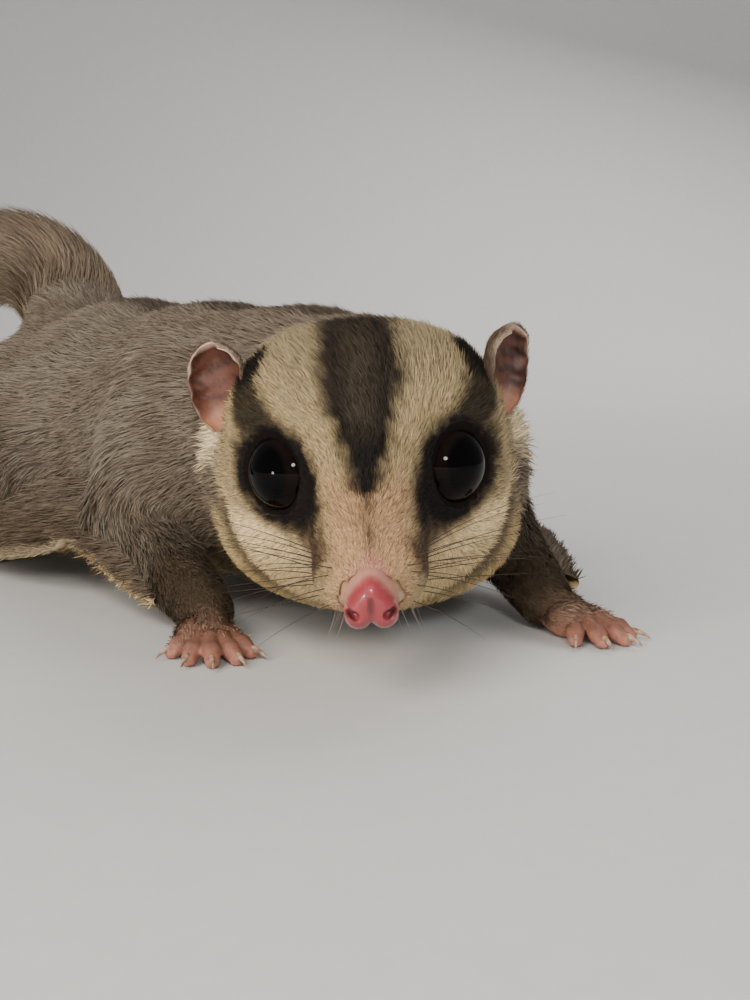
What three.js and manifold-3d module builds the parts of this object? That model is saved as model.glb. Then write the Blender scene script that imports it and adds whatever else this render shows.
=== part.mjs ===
// A sugar glider crouching on the floor, life size: head low and facing -Y, back running away to
// -X and +Y, gliding membrane folded along each flank, bushy tail arched up and laid down beside it.
// Millimetres, +Z up, floor at z = 0. Flesh is a smooth distance field, parted by thin cuts.
import * as THREE from "three";
import Module from "manifold-3d";
import { mergeVertices } from "three/addons/utils/BufferGeometryUtils.js";

const wasm = await Module();
wasm.setup();

// Driving dimensions
const GAP = 0.3; // between neighbouring nodes
const EYE_HEIGHT = 23; // midpoint of the eyes above the floor
const HEAD_PITCH = 16; // degrees, nose down
const HEAD_ROLL = 2.5; // degrees, the animal's left side up
const EYE_RADIUS = 4.9;
const EYE_CENTRE = [8.7, 2.1, 0.2]; // head frame, left eye
const EYE_AXIS = [0.72, -0.66, 0.2];
const LID_RADIUS = 4.25; // opening of the lids
const LID_TUBE = 0.68; // radius of their rounded edge
const LID_SPREAD = 0.35; // from the opening's edge out to the middle of the lids' tube
const LID_STAND = 0.25; // of the lids' tube, in front of the eye's surface at the opening
const ORBIT_RADIUS = 11; // of the shallow bowl that each eye sits in
const ORBIT_DEPTH = 0.55; // from the eye's centre out to the bottom of the bowl
const EAR_HEIGHT = 11.6;
const EAR_WIDTH = 4.4; // half the cup's width before it swells
const EAR_THICKNESS = 0.95;
const CLAW_LENGTH = 2.6;
const TAIL_COAT = 11.5; // radius out to the tips of the tail's fur
const WELD = 0.01; // edges shorter than this are closed up by the cuts
const FLAT = 0.35; // depth of the flats that the soles and tail rest on

// Added to the gap where coarse faces lie inside the true surface
const SLACK = { ear: 0.15, leg: 0.3, membrane: 0.4, membraneAtLeg: 0.8, pawShareOfCell: 0.1 };

// Grid cell of each node's surface, and of the surfaces that others are cut back from
const CELL = {
  neck: 4.2, torso: 6.3, foreleg_right: 3.6, foreleg_left: 3.5, hindleg: 4.6, palm: 2.6, nose: 1.25,
};
const CUT_CELL = { ear: 2.1, palm: 2, leg: 4, body: 5 };
// The head's cells grow from the middle of the face outwards, and from the snout backwards.
const FACE_HALF = 7;
const SNOUT_BACK = -7;
const BROW_RISE = 4; // above the eyes
const HEAD_CELLS = [
  (x) => (Math.abs(x) < FACE_HALF ? 2.3 : 3.3),
  (y) => (y < SNOUT_BACK ? 1.9 : 3.4),
  (z) => (z < EYE_HEIGHT + BROW_RISE ? 2.3 : 3.6),
];

const SEEN = { left: 1, right: -1 }; // the animal's own sides: left is +X in the head frame

// Small vector helpers on plain arrays
const add = (a, b) => [a[0] + b[0], a[1] + b[1], a[2] + b[2]];
const sub = (a, b) => [a[0] - b[0], a[1] - b[1], a[2] - b[2]];
const scale = (a, s) => [a[0] * s, a[1] * s, a[2] * s];
const dot = (a, b) => a[0] * b[0] + a[1] * b[1] + a[2] * b[2];
const length = (a) => Math.hypot(a[0], a[1], a[2]);
const unit = (a) => scale(a, 1 / length(a));
const cross = (a, b) => [
  a[1] * b[2] - a[2] * b[1],
  a[2] * b[0] - a[0] * b[2],
  a[0] * b[1] - a[1] * b[0],
];
const mix = (a, b, t) => add(scale(a, 1 - t), scale(b, t));

// The head's frame: x to the animal's left, y backwards, z up, origin between the eyes.
const radians = THREE.MathUtils.degToRad;
const headMatrix = new THREE.Matrix4()
  .makeTranslation(0, 0, EYE_HEIGHT)
  .multiply(new THREE.Matrix4().makeRotationY(-radians(HEAD_ROLL)))
  .multiply(new THREE.Matrix4().makeRotationX(radians(HEAD_PITCH)));
const headInverse = headMatrix.clone().invert();
const moved = (matrix, p) => new THREE.Vector3(...p).applyMatrix4(matrix).toArray();
const headPoint = (p) => moved(headMatrix, p);
const toHead = (() => {
  const e = headInverse.elements;
  return (p) => [
    e[0] * p[0] + e[4] * p[1] + e[8] * p[2] + e[12],
    e[1] * p[0] + e[5] * p[1] + e[9] * p[2] + e[13],
    e[2] * p[0] + e[6] * p[1] + e[10] * p[2] + e[14],
  ];
})();
const headDirection = (d) => sub(headPoint(d), headPoint([0, 0, 0]));

// The body's frame: along runs from the shoulders to the rump, out is towards the animal's right.
const SHOULDER = [-9, 38];
const ALONG = [-0.59, 0.807];
const OUT = [-0.807, -0.59];
const bodyPoint = (along, out, z) => [
  SHOULDER[0] + ALONG[0] * along + OUT[0] * out,
  SHOULDER[1] + ALONG[1] * along + OUT[1] * out,
  z,
];

// Distance fields
function roundCone(a, b, ra, rb) {
  const ba = sub(b, a);
  const l2 = dot(ba, ba);
  const rr = ra - rb;
  const a2 = l2 - rr * rr;
  const il2 = 1 / l2;
  return (p) => {
    const pa = sub(p, a);
    const y = dot(pa, ba);
    const z = y - l2;
    const w = [pa[0] * l2 - ba[0] * y, pa[1] * l2 - ba[1] * y, pa[2] * l2 - ba[2] * y];
    const x2 = dot(w, w);
    const y2 = y * y * l2;
    const z2 = z * z * l2;
    const k = Math.sign(rr) * rr * rr * x2;
    if (Math.sign(z) * a2 * z2 > k) return Math.sqrt(x2 + z2) * il2 - rb;
    if (Math.sign(y) * a2 * y2 < k) return Math.sqrt(x2 + y2) * il2 - ra;
    return (Math.sqrt(x2 * a2 * il2) + y * rr) * il2 - ra;
  };
}

function ellipsoid(c, r) {
  return (p) => {
    const q = sub(p, c);
    const k0 = Math.hypot(q[0] / r[0], q[1] / r[1], q[2] / r[2]);
    const k1 = Math.hypot(q[0] / r[0] ** 2, q[1] / r[1] ** 2, q[2] / r[2] ** 2);
    return k1 < 1e-9 ? -Math.min(...r) : (k0 * (k0 - 1)) / k1;
  };
}

function smoothMin(a, b, k) {
  const h = Math.max(k - Math.abs(a - b), 0) / k;
  return Math.min(a, b) - h * h * k * 0.25;
}

const smoothMax = (a, b, k) => -smoothMin(-a, -b, k);
const blend = (fields, k) => (p) => fields.reduce((d, f) => smoothMin(d, f(p), k), 1e3);
const inHead = (field) => (p) => field(toHead(p));
const mirrored = (f) => [f(1), f(-1)];

// Head: cranium, face, cheeks, muzzle, whisker pads and lower jaw, in the head's frame
const headFields = [
  ellipsoid([0, 10, 1.2], [15.0, 14.4, 11.4]),
  ...mirrored((s) => ellipsoid([s * 8.0, 11.5, 4.0], [7.4, 10.5, 8.4])),
  ...mirrored((s) => ellipsoid([s * 9.0, 6.6, -5.8], [6.4, 8.4, 7.6])),
  ellipsoid([0, -2.5, 1.0], [6.6, 10.5, 6.8]),
  roundCone([0, -4.5, -4.2], [0, -15.4, -5.3], 7.4, 3.1),
  ...mirrored((s) => ellipsoid([s * 2.9, -12.6, -6.4], [3.2, 4.4, 3.0])),
  roundCone([0, 6, -10.0], [0, -10.8, -9.2], 6.0, 2.5),
];
const eyeCentre = (s) => [EYE_CENTRE[0] * s, EYE_CENTRE[1], EYE_CENTRE[2]];
const eyeAxis = (s) => unit([EYE_AXIS[0] * s, EYE_AXIS[1], EYE_AXIS[2]]);
const orbits = mirrored((s) => {
  const centre = add(eyeCentre(s), scale(eyeAxis(s), ORBIT_DEPTH + ORBIT_RADIUS));
  return roundCone(centre, add(centre, [0, 0, 0.01]), ORBIT_RADIUS, ORBIT_RADIUS);
});
const noseFields = [
  ellipsoid([0, -19.0, -5.4], [2.4, 2.3, 2.5]),
  ...mirrored((s) => ellipsoid([s * 1.5, -19.0, -6.2], [1.8, 2.0, 1.7])),
];
const headFlesh = blend(headFields, 3.6);
const nosePad = blend(noseFields, 1.1);
const headField = inHead((p) => {
  const bowls = Math.min(...orbits.map((orbit) => orbit(p)));
  return smoothMin(smoothMax(headFlesh(p), -bowls, 2), nosePad(p), 1.6);
});

// Neck with the thick fur behind the cheeks and the full throat, torso and the root of the tail
const neckField = blend(
  [
    ellipsoid([0.6, 19, 23.3], [20.6, 11, 16.8]),
    ellipsoid([0.2, 13.5, 14.6], [18.2, 10.5, 10.4]),
    roundCone(headPoint([0, 12, -1.5]), bodyPoint(0, 0, 22.4), 16, 18.4),
  ],
  6,
);
const TAIL_PATH = [
  bodyPoint(76, 1, 28), [-57.5, 113, 42], [-67.5, 121, 51], [-84.5, 127, 50.5], [-104, 127, 39.5],
  [-122, 120.5, 24], [-138, 109.5, 12.5], [-150, 94, 9.4], [-155, 76, 6.4], [-153, 59, 2.2],
];
const torsoField = blend(
  [
    roundCone(bodyPoint(0, 0, 22.4), bodyPoint(24, 0, 22.2), 18.8, 19.4),
    roundCone(bodyPoint(24, 0, 22.2), bodyPoint(52, 0, 22.4), 19.4, 19.8),
    roundCone(bodyPoint(52, 0, 22.4), bodyPoint(74, 0, 21.6), 19.8, 18.2),
    ...mirrored((s) => ellipsoid(bodyPoint(8, s * 11, 24), [11.5, 11.5, 14])),
    ...mirrored((s) => ellipsoid(bodyPoint(60, s * 11, 20), [15, 15, 15])),
    roundCone(bodyPoint(70, 1, 27), TAIL_PATH[1], 12, 9.5),
  ],
  8,
);
const axialField = (p) => smoothMin(smoothMin(headField(p), neckField(p), 5), torsoField(p), 8);

// Legs: joints of the forelegs from the pose, of the hind legs alike on both sides
const LEGS = {
  foreleg_right: {
    joints: [[-25, 44, 26], [-33.5, 37, 13.2], [-20.5, 12.5, 4.3]],
    radii: [12.5, 7.2, 3.7], upper: 6, lower: 3, cell: CELL.foreleg_right,
  },
  foreleg_left: {
    joints: [[6, 46, 25], [17, 40.5, 12.2], [23.2, 20, 4.3]],
    radii: [12, 6.6, 3.8], upper: 6, lower: 3, cell: CELL.foreleg_left,
  },
};
for (const [side, s] of [["right", 1], ["left", -1]])
  LEGS["hindleg_" + side] = {
    joints: [bodyPoint(72, s * 13, 21), bodyPoint(57, s * 23, 16.5), bodyPoint(73, s * 23.5, 5.2)],
    radii: [14.5, 9.2, 4.6], upper: 7, lower: 3.5, cell: CELL.hindleg,
  };

const upperField = (leg) => roundCone(leg.joints[0], leg.joints[1], leg.radii[0], leg.radii[1]);
const lowerField = (leg) => roundCone(leg.joints[1], leg.joints[2], leg.radii[1] * 0.93, leg.radii[2]);
const legField = (leg) => {
  const upper = upperField(leg);
  const lower = lowerField(leg);
  return (p) => smoothMin(smoothMin(axialField(p), upper(p), leg.upper), lower(p), leg.lower);
};

// Gliding membrane: rows of points at its root in the flank and along its free margin
const PATAGIA = {
  patagium_right: {
    root: [[-24, 18, 6], [-36, 37, 13], bodyPoint(22, 17, 15), bodyPoint(38, 18, 15), bodyPoint(54, 20, 14),
      bodyPoint(69, 21, 11)],
    edge: [[-27.6, 18.5, 4], [-42.6, 36, 9.5], bodyPoint(22, 28.5, 8), bodyPoint(38, 31, 5.2),
      bodyPoint(54, 31, 5.6), bodyPoint(71, 28, 6.2)],
  },
  patagium_left: {
    root: [[25, 26, 6], [18, 42, 12], bodyPoint(22, -17, 15), bodyPoint(38, -18, 15), bodyPoint(54, -20, 14),
      bodyPoint(69, -21, 11)],
    edge: [[28.6, 28, 4.5], [24, 46, 9.5], bodyPoint(22, -27, 8), bodyPoint(38, -30, 5.2),
      bodyPoint(54, -31, 5.6), bodyPoint(71, -28, 6.2)],
  },
};
const MEMBRANE_HALF = 1.4;
// Its outline across: share of the way from root to edge, and height in halves of the thickness
const MEMBRANE_SECTION = [
  [0, 1], [0.45, 1.15], [0.82, 0.95], [1, 1], [1.12, 0], [1, -1], [0.82, -0.85], [0, -1],
];

// Paws: a palm and five digits that bend down to the floor, each with a claw
const FOREPAW = {
  palm: 5.2, palmRadius: 3.0, reach: [5.4, 7.4, 8.2, 7.8, 6.4], digit: 1.25, clawed: [1, 1, 1, 1, 1],
};
const HINDPAW = {
  palm: 11.5, palmRadius: 3.3, reach: [6.4, 6.6, 7.2, 8.2, 7.4], digit: 1.35, clawed: [0, 1, 1, 1, 1],
};
const HIND_SPREAD = [-80, -20, -8, 12, 30];
const PAWS = {
  forepaw_right: {
    ...FOREPAW, wrist: [-20.5, 12.5, 4.3], toward: [0.22, -0.97], side: -1, spread: [-62, -26, -4, 18, 44],
  },
  forepaw_left: {
    ...FOREPAW, wrist: [23.2, 20.0, 4.3], toward: [0.64, -0.77], side: 1, spread: [-62, -28, -4, 20, 46],
  },
  hindpaw_right: {
    ...HINDPAW, wrist: bodyPoint(73, 23.5, 5.0), toward: [0.33, -0.94], side: -1, spread: HIND_SPREAD,
  },
  hindpaw_left: {
    ...HINDPAW, wrist: bodyPoint(73, -23.5, 5.0), toward: [0.72, -0.69], side: 1, spread: HIND_SPREAD,
  },
};

function digitTurn(paw, angle) {
  // The first digit is the inner one, so each paw's spread turns with its side.
  const turn = radians(-angle * paw.side);
  const [x, y] = unit([...paw.toward, 0]);
  return [x * Math.cos(turn) - y * Math.sin(turn), x * Math.sin(turn) + y * Math.cos(turn), 0];
}

function palmEnd(paw) {
  const forward = unit([...paw.toward, 0]);
  return add([paw.wrist[0], paw.wrist[1], paw.palmRadius - 0.9], scale(forward, paw.palm));
}

function palmField(paw) {
  const forward = unit([...paw.toward, 0]);
  const end = palmEnd(paw);
  const across = [-forward[1], forward[0], -0.4];
  return blend(
    [
      roundCone(paw.wrist, end, paw.palmRadius, paw.palmRadius * 0.92),
      ...mirrored((s) => ellipsoid(add(end, scale(across, s * 1.5)), [2.7, 2.7, 2.1])),
    ],
    1,
  );
}

// Surface of a field at a level, by surface nets, with each vertex drawn onto the surface.
// The cell is one size, or for each axis a function of the coordinate.
const DRAW_REACH = 0.6; // share of a cell from which a vertex may be drawn in
const DRAW_STEPS = 2;
const SLOPE_STEP = 0.05;
function polygonise(field, box, cell, level = 0) {
  const cells = Array.isArray(cell) ? cell : [0, 1, 2].map(() => () => cell);
  const [xs, ys, zs] = cells.map((size, k) => {
    const stops = [box[0][k]];
    while (stops.at(-1) < box[1][k]) stops.push(stops.at(-1) + size(stops.at(-1)));
    return stops;
  });
  const [nx, ny, nz] = [xs.length, ys.length, zs.length];
  const at = (i, j, k) => [xs[i], ys[j], zs[k]];
  const index = (i, j, k) => i + nx * (j + ny * k);
  const value = new Float64Array(nx * ny * nz);
  for (let k = 0; k < nz; k++)
    for (let j = 0; j < ny; j++)
      for (let i = 0; i < nx; i++) {
        const rim = i === 0 || j === 0 || k === 0 || i === nx - 1 || j === ny - 1 || k === nz - 1;
        value[index(i, j, k)] = rim ? 1 : field(at(i, j, k)) - level || 1e-6;
      }
  const corners = [];
  for (let c = 0; c < 8; c++) corners.push([c & 1, (c >> 1) & 1, (c >> 2) & 1]);
  const edges = [];
  for (let a = 0; a < 8; a++)
    for (const bit of [1, 2, 4])
      if (!(a & bit)) edges.push([a, a | bit]);
  const vertexOf = new Map();
  const positions = [];
  for (let k = 0; k < nz - 1; k++)
    for (let j = 0; j < ny - 1; j++)
      for (let i = 0; i < nx - 1; i++) {
        const v = corners.map((c) => value[index(i + c[0], j + c[1], k + c[2])]);
        if (v.every((x) => x > 0) || v.every((x) => x <= 0)) continue;
        let sum = [0, 0, 0];
        let crossings = 0;
        for (const [a, b] of edges) {
          if (v[a] > 0 === v[b] > 0) continue;
          sum = add(sum, mix(corners[a], corners[b], v[a] / (v[a] - v[b])));
          crossings++;
        }
        const low = at(i, j, k);
        const high = at(i + 1, j + 1, k + 1);
        let p = low.map((v0, axis) => v0 + ((high[axis] - v0) * sum[axis]) / crossings);
        const reach = DRAW_REACH * (high[0] - low[0]);
        for (let step = 0; step < DRAW_STEPS; step++) {
          const d = field(p) - level;
          if (Math.abs(d) > reach) break;
          const g = [0, 1, 2].map((axis) => {
            const q = [...p];
            q[axis] += SLOPE_STEP;
            return (field(q) - level - d) / SLOPE_STEP;
          });
          p = sub(p, scale(g, d / Math.max(dot(g, g), 0.25)));
        }
        vertexOf.set(index(i, j, k), positions.length / 3);
        positions.push(...p);
      }
  const triangles = [];
  const rings = [
    [[1, 0, 0], [[0, 0, 0], [0, -1, 0], [0, -1, -1], [0, 0, -1]]],
    [[0, 1, 0], [[0, 0, 0], [0, 0, -1], [-1, 0, -1], [-1, 0, 0]]],
    [[0, 0, 1], [[0, 0, 0], [-1, 0, 0], [-1, -1, 0], [0, -1, 0]]],
  ];
  for (let k = 0; k < nz - 1; k++)
    for (let j = 0; j < ny - 1; j++)
      for (let i = 0; i < nx - 1; i++) {
        const here = value[index(i, j, k)] <= 0;
        for (const [step, around] of rings) {
          // An edge on the box's rim has no four cells round it, and no crossing either.
          if ([i, j, k].some((n, axis) => n === 0 && step[axis] === 0)) continue;
          const there = value[index(i + step[0], j + step[1], k + step[2])] <= 0;
          if (here === there) continue;
          const quad = around.map((c) => vertexOf.get(index(i + c[0], j + c[1], k + c[2])));
          if (here) quad.reverse();
          triangles.push(quad[0], quad[1], quad[2], quad[0], quad[2], quad[3]);
        }
      }
  // Each cell's vertex is joined so that the faces point out.
  for (let i = 0; i < triangles.length; i += 3)
    [triangles[i + 1], triangles[i + 2]] = [triangles[i + 2], triangles[i + 1]];
  const geometry = new THREE.BufferGeometry();
  geometry.setAttribute("position", new THREE.Float32BufferAttribute(positions, 3));
  geometry.setIndex(triangles);
  return geometry;
}

// A closed body through rings of points, with a point at each end
function loft(rings, first, last) {
  const sides = rings[0].length;
  const positions = [...rings.flat(2), ...first, ...last];
  const triangles = [];
  const tip = rings.length * sides;
  for (let i = 0; i < sides; i++) {
    const j = (i + 1) % sides;
    for (let r = 0; r + 1 < rings.length; r++) {
      const [a, b, c, d] = [r * sides + i, r * sides + j, (r + 1) * sides + i, (r + 1) * sides + j];
      triangles.push(a, b, c, b, d, c);
    }
    const end = (rings.length - 1) * sides;
    triangles.push(j, i, tip, end + i, end + j, tip + 1);
  }
  const geometry = new THREE.BufferGeometry();
  geometry.setAttribute("position", new THREE.Float32BufferAttribute(positions, 3));
  geometry.setIndex(triangles);
  return facingOut(geometry);
}

// A body along points, round or flattened: each ring has a width and a height
function tube(points, widths, heights, sides, sideways) {
  const ends = [points[0], points.at(-1)];
  const rings = points.map((p, i) => {
    const along = unit(sub(points[Math.min(i + 1, points.length - 1)], points[Math.max(i - 1, 0)]));
    const across = unit(cross(along, cross(sideways, along)));
    const over = cross(along, across);
    return Array.from({ length: sides }, (_, k) => {
      const a = (k / sides) * 2 * Math.PI;
      return add(p, add(scale(across, widths[i] * Math.cos(a)), scale(over, heights[i] * Math.sin(a))));
    });
  });
  const CAP = 0.55; // how far each end's point stands out, against the end's radius
  const out = (i, n) => {
    const outwards = unit(sub(points.at(i), points.at(n)));
    return scale(outwards, Math.min(widths.at(i), heights.at(i)) * CAP);
  };
  return loft(rings, add(ends[0], out(0, 1)), add(ends[1], out(-1, -2)));
}

// manifold-3d in and out
function solidOf(geometry) {
  const bare = geometry.clone();
  bare.deleteAttribute("normal");
  bare.deleteAttribute("uv");
  const merged = mergeVertices(bare, 1e-4);
  return new wasm.Manifold(
    new wasm.Mesh({
      numProp: 3,
      vertProperties: new Float32Array(merged.attributes.position.array),
      triVerts: new Uint32Array(merged.index.array),
      tolerance: WELD,
    }),
  );
}

function facingOut(geometry) {
  const solid = solidOf(geometry);
  if (solid.volume() > 0) return solid;
  const index = geometry.index.array;
  for (let i = 0; i < index.length; i += 3) [index[i + 1], index[i + 2]] = [index[i + 2], index[i + 1]];
  return solidOf(geometry);
}

function largest(solid) {
  return solid.decompose().reduce((best, s) => (s.volume() > best.volume() ? s : best));
}

function geometryOf(solid) {
  const mesh = solid.getMesh();
  const geometry = new THREE.BufferGeometry();
  geometry.setAttribute("position", new THREE.BufferAttribute(new Float32Array(mesh.vertProperties), 3));
  geometry.setIndex(new THREE.BufferAttribute(new Uint32Array(mesh.triVerts), 1));
  return geometry;
}

// A box round the points, its low corner on a lattice so that neighbours of one cell size match
const boxAround = (points, margin, lattice = 1) => [
  [0, 1, 2].map((k) => Math.floor((Math.min(...points.map((p) => p[k])) - margin) / lattice) * lattice),
  [0, 1, 2].map((k) => Math.max(...points.map((p) => p[k])) + margin),
];

// A large block whose one face lies on the plane through a point, on the side that the normal leaves
function halfSpace(point, normal, shift = 0) {
  const SIZE = 500;
  const n = unit(normal);
  const box = new THREE.BoxGeometry(SIZE, SIZE, SIZE);
  box.translate(0, 0, -SIZE / 2 + shift);
  const turn = new THREE.Quaternion().setFromUnitVectors(new THREE.Vector3(0, 0, 1), new THREE.Vector3(...n));
  box.applyQuaternion(turn);
  box.translate(...point);
  return solidOf(box);
}

const aboveSoles = halfSpace([0, 0, FLAT], [0, 0, -1]);
const surface = (field, box, cell, level = 0) => solidOf(polygonise(field, box, cell, level));

// Planes between head and neck, neck and torso, torso and tail
const TAIL_PARTING = 0.42; // share of the way between the tail path's first two points
const NECK_PLANE = { point: headPoint([0, 16.5, 0]), normal: headDirection([0, 1, -0.12]) };
const CHEST_PLANE = { point: [-5.5, 31, 22], normal: [-0.36, 0.93, 0.05] };
const TAIL_PLANE = {
  point: mix(TAIL_PATH[0], TAIL_PATH[1], TAIL_PARTING),
  normal: sub(TAIL_PATH[1], TAIL_PATH[0]),
};
const before = (plane, gap = GAP) => halfSpace(plane.point, plane.normal, -gap / 2);
const beyond = (plane, gap = GAP) => halfSpace(plane.point, scale(plane.normal, -1), -gap / 2);

// Axial nodes
const HEAD_BOX = boxAround([headPoint([-20, -22, -18]), headPoint([20, -22, 18]), headPoint([0, 22, 0])], 9);
const NECK_BOX = [[-34, 2, 0], [26, 52, 50]];
const TORSO_BOX = [[-104, 14, 1], [26, 142, 56]];

// The eye is a ball in its socket, with the lids as a ring round the opening.
const EYE_SEGMENTS = 18;
function eyeBall(side, radius) {
  const centre = headPoint(eyeCentre(SEEN[side]));
  return solidOf(new THREE.SphereGeometry(radius, EYE_SEGMENTS, EYE_SEGMENTS / 2).translate(...centre));
}

function lidRing(side) {
  const axis = eyeAxis(SEEN[side]);
  const centre = eyeCentre(SEEN[side]);
  const depth = Math.sqrt(EYE_RADIUS ** 2 - LID_RADIUS ** 2) + LID_STAND;
  const ring = new THREE.TorusGeometry(LID_RADIUS + LID_SPREAD, LID_TUBE, 5, EYE_SEGMENTS);
  ring.applyQuaternion(
    new THREE.Quaternion().setFromUnitVectors(new THREE.Vector3(0, 0, 1), new THREE.Vector3(...axis)));
  ring.translate(...add(centre, scale(axis, depth)));
  ring.applyMatrix4(headMatrix);
  return solidOf(ring);
}

// A groove along the mouth: a slim tube sunk in the skin under the snout, cut from the head
const MOUTH_HEIGHT = -8.4; // head frame
const MOUTH_CORNERS = [-2.5, -6, -9.5, -12.5]; // y of its points on each side, from the corner forwards
const MOUTH_FRONT = -15.5;
const MOUTH_RADIUS = 0.45;
function mouthGroove() {
  const STEPS = 18;
  const START = 9; // beside the snout, outside the skin
  const WALK = 12; // steps in to the skin
  const onSkin = (x, y) => {
    const away = x === 0 ? [0, -1, 0] : [Math.sign(x), 0, 0];
    let p = [x, y, MOUTH_HEIGHT];
    for (let i = 0; i < WALK; i++) p = sub(p, scale(away, headField(headPoint(p)) * 0.7));
    return headPoint(p);
  };
  const right = MOUTH_CORNERS.map((y) => onSkin(-START, y));
  const left = MOUTH_CORNERS.map((y) => onSkin(START, y)).reverse();
  const points = [...right, onSkin(0, MOUTH_FRONT), ...left];
  const path = new THREE.CatmullRomCurve3(points.map((p) => new THREE.Vector3(...p)));
  const line = path.getPoints(STEPS).map((p) => p.toArray());
  const radii = line.map(() => MOUTH_RADIUS);
  return tube(line, radii, radii, 4, [0, 0.2, 1]);
}

// The nose is the pad in front of its plane, with two nostrils and a groove between them.
const NOSTRIL = [[1.5, -22.2, -6.8], [1.7, -20.7, -6.5], [2.9, -19.9, -6.1]];
const NOSE_GROOVE = [[0, -21.2, -4.2], [0, -21.4, -6.2], [0, -20.8, -8.4]];
const NOSE_PLANE = { point: headPoint([0, -17.2, -5.4]), normal: headDirection([0, 1, 0.1]) };

function makeHead() {
  let head = surface(axialField, HEAD_BOX, HEAD_CELLS);
  head = head.intersect(before(NECK_PLANE));
  head = head.intersect(beyond(NOSE_PLANE));
  for (const side of ["left", "right"])
    head = head.add(lidRing(side)).subtract(eyeBall(side, EYE_RADIUS + GAP));
  return largest(head.subtract(mouthGroove()));
}

function makeNose() {
  const box = boxAround([headPoint([0, -19, -6])], 6);
  let nose = surface(axialField, box, CELL.nose).intersect(before(NOSE_PLANE));
  for (const s of [1, -1]) {
    const path = NOSTRIL.map(([x, y, z]) => headPoint([x * s, y, z]));
    nose = nose.subtract(tube(path, [0.6, 0.5, 0.35], [0.75, 0.6, 0.4], 6, [0, 0, 1]));
  }
  const groove = tube(NOSE_GROOVE.map(headPoint), [0.3, 0.35, 0.3], [0.3, 0.5, 0.4], 4, [0, 1, 0]);
  return largest(nose.subtract(groove));
}

function makeNeck() {
  return largest(
    surface(axialField, NECK_BOX, CELL.neck).intersect(beyond(NECK_PLANE)).intersect(before(CHEST_PLANE)));
}

function makeTorso() {
  return largest(
    surface(axialField, TORSO_BOX, CELL.torso).intersect(beyond(CHEST_PLANE)).intersect(before(TAIL_PLANE)));
}

function makeLeg(leg) {
  const cell = leg.cell;
  const box = boxAround(leg.joints, leg.radii[0] + 6, cell);
  const body = surface(axialField, boxAround(leg.joints, leg.radii[0] + 12, cell), cell, GAP + SLACK.leg);
  return largest(surface(legField(leg), box, cell).intersect(aboveSoles).subtract(body));
}

// A digit arches from the palm to a padded tip on the floor
function digitSolid(paw, i) {
  const along = digitTurn(paw, paw.spread[i]);
  const reach = paw.reach[i];
  const root = add(palmEnd(paw), scale(along, 0.2));
  const r = paw.digit;
  const heights = [palmEnd(paw)[2], r + 1.6, r + 0.7, r * 0.92];
  const points = [0.05, 0.42, 0.76, 1].map((t, k) => [
    root[0] + along[0] * reach * t, root[1] + along[1] * reach * t, heights[k],
  ]);
  const widths = [1.05, 0.95, 1.1, 0.85].map((w) => w * r);
  return tube(points, widths, widths, 5, [-along[1], along[0], 0]);
}

// A claw curves from the top of the digit's tip down to the floor
function clawSolid(paw, i) {
  const along = digitTurn(paw, paw.spread[i]);
  const tip = add(palmEnd(paw), scale(along, paw.reach[i] + 0.4));
  const points = [0, 0.55, 1].map((t) => [
    tip[0] + along[0] * CLAW_LENGTH * t, tip[1] + along[1] * CLAW_LENGTH * t,
    paw.digit * 1.25 + 0.5 * t - 1.25 * t * t,
  ]);
  const widths = [0.52, 0.4, 0.12];
  return tube(points, widths, widths.map((w) => w * 1.25), 4, [-along[1], along[0], 0]);
}

function makePaw(paw) {
  const box = boxAround([paw.wrist, palmEnd(paw)], paw.palmRadius + 2.5);
  let solid = surface(palmField(paw), box, CELL.palm);
  paw.spread.forEach((_, i) => {
    solid = solid.add(digitSolid(paw, i));
    if (paw.clawed[i]) solid = solid.add(clawSolid(paw, i));
  });
  return solid;
}

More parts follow.
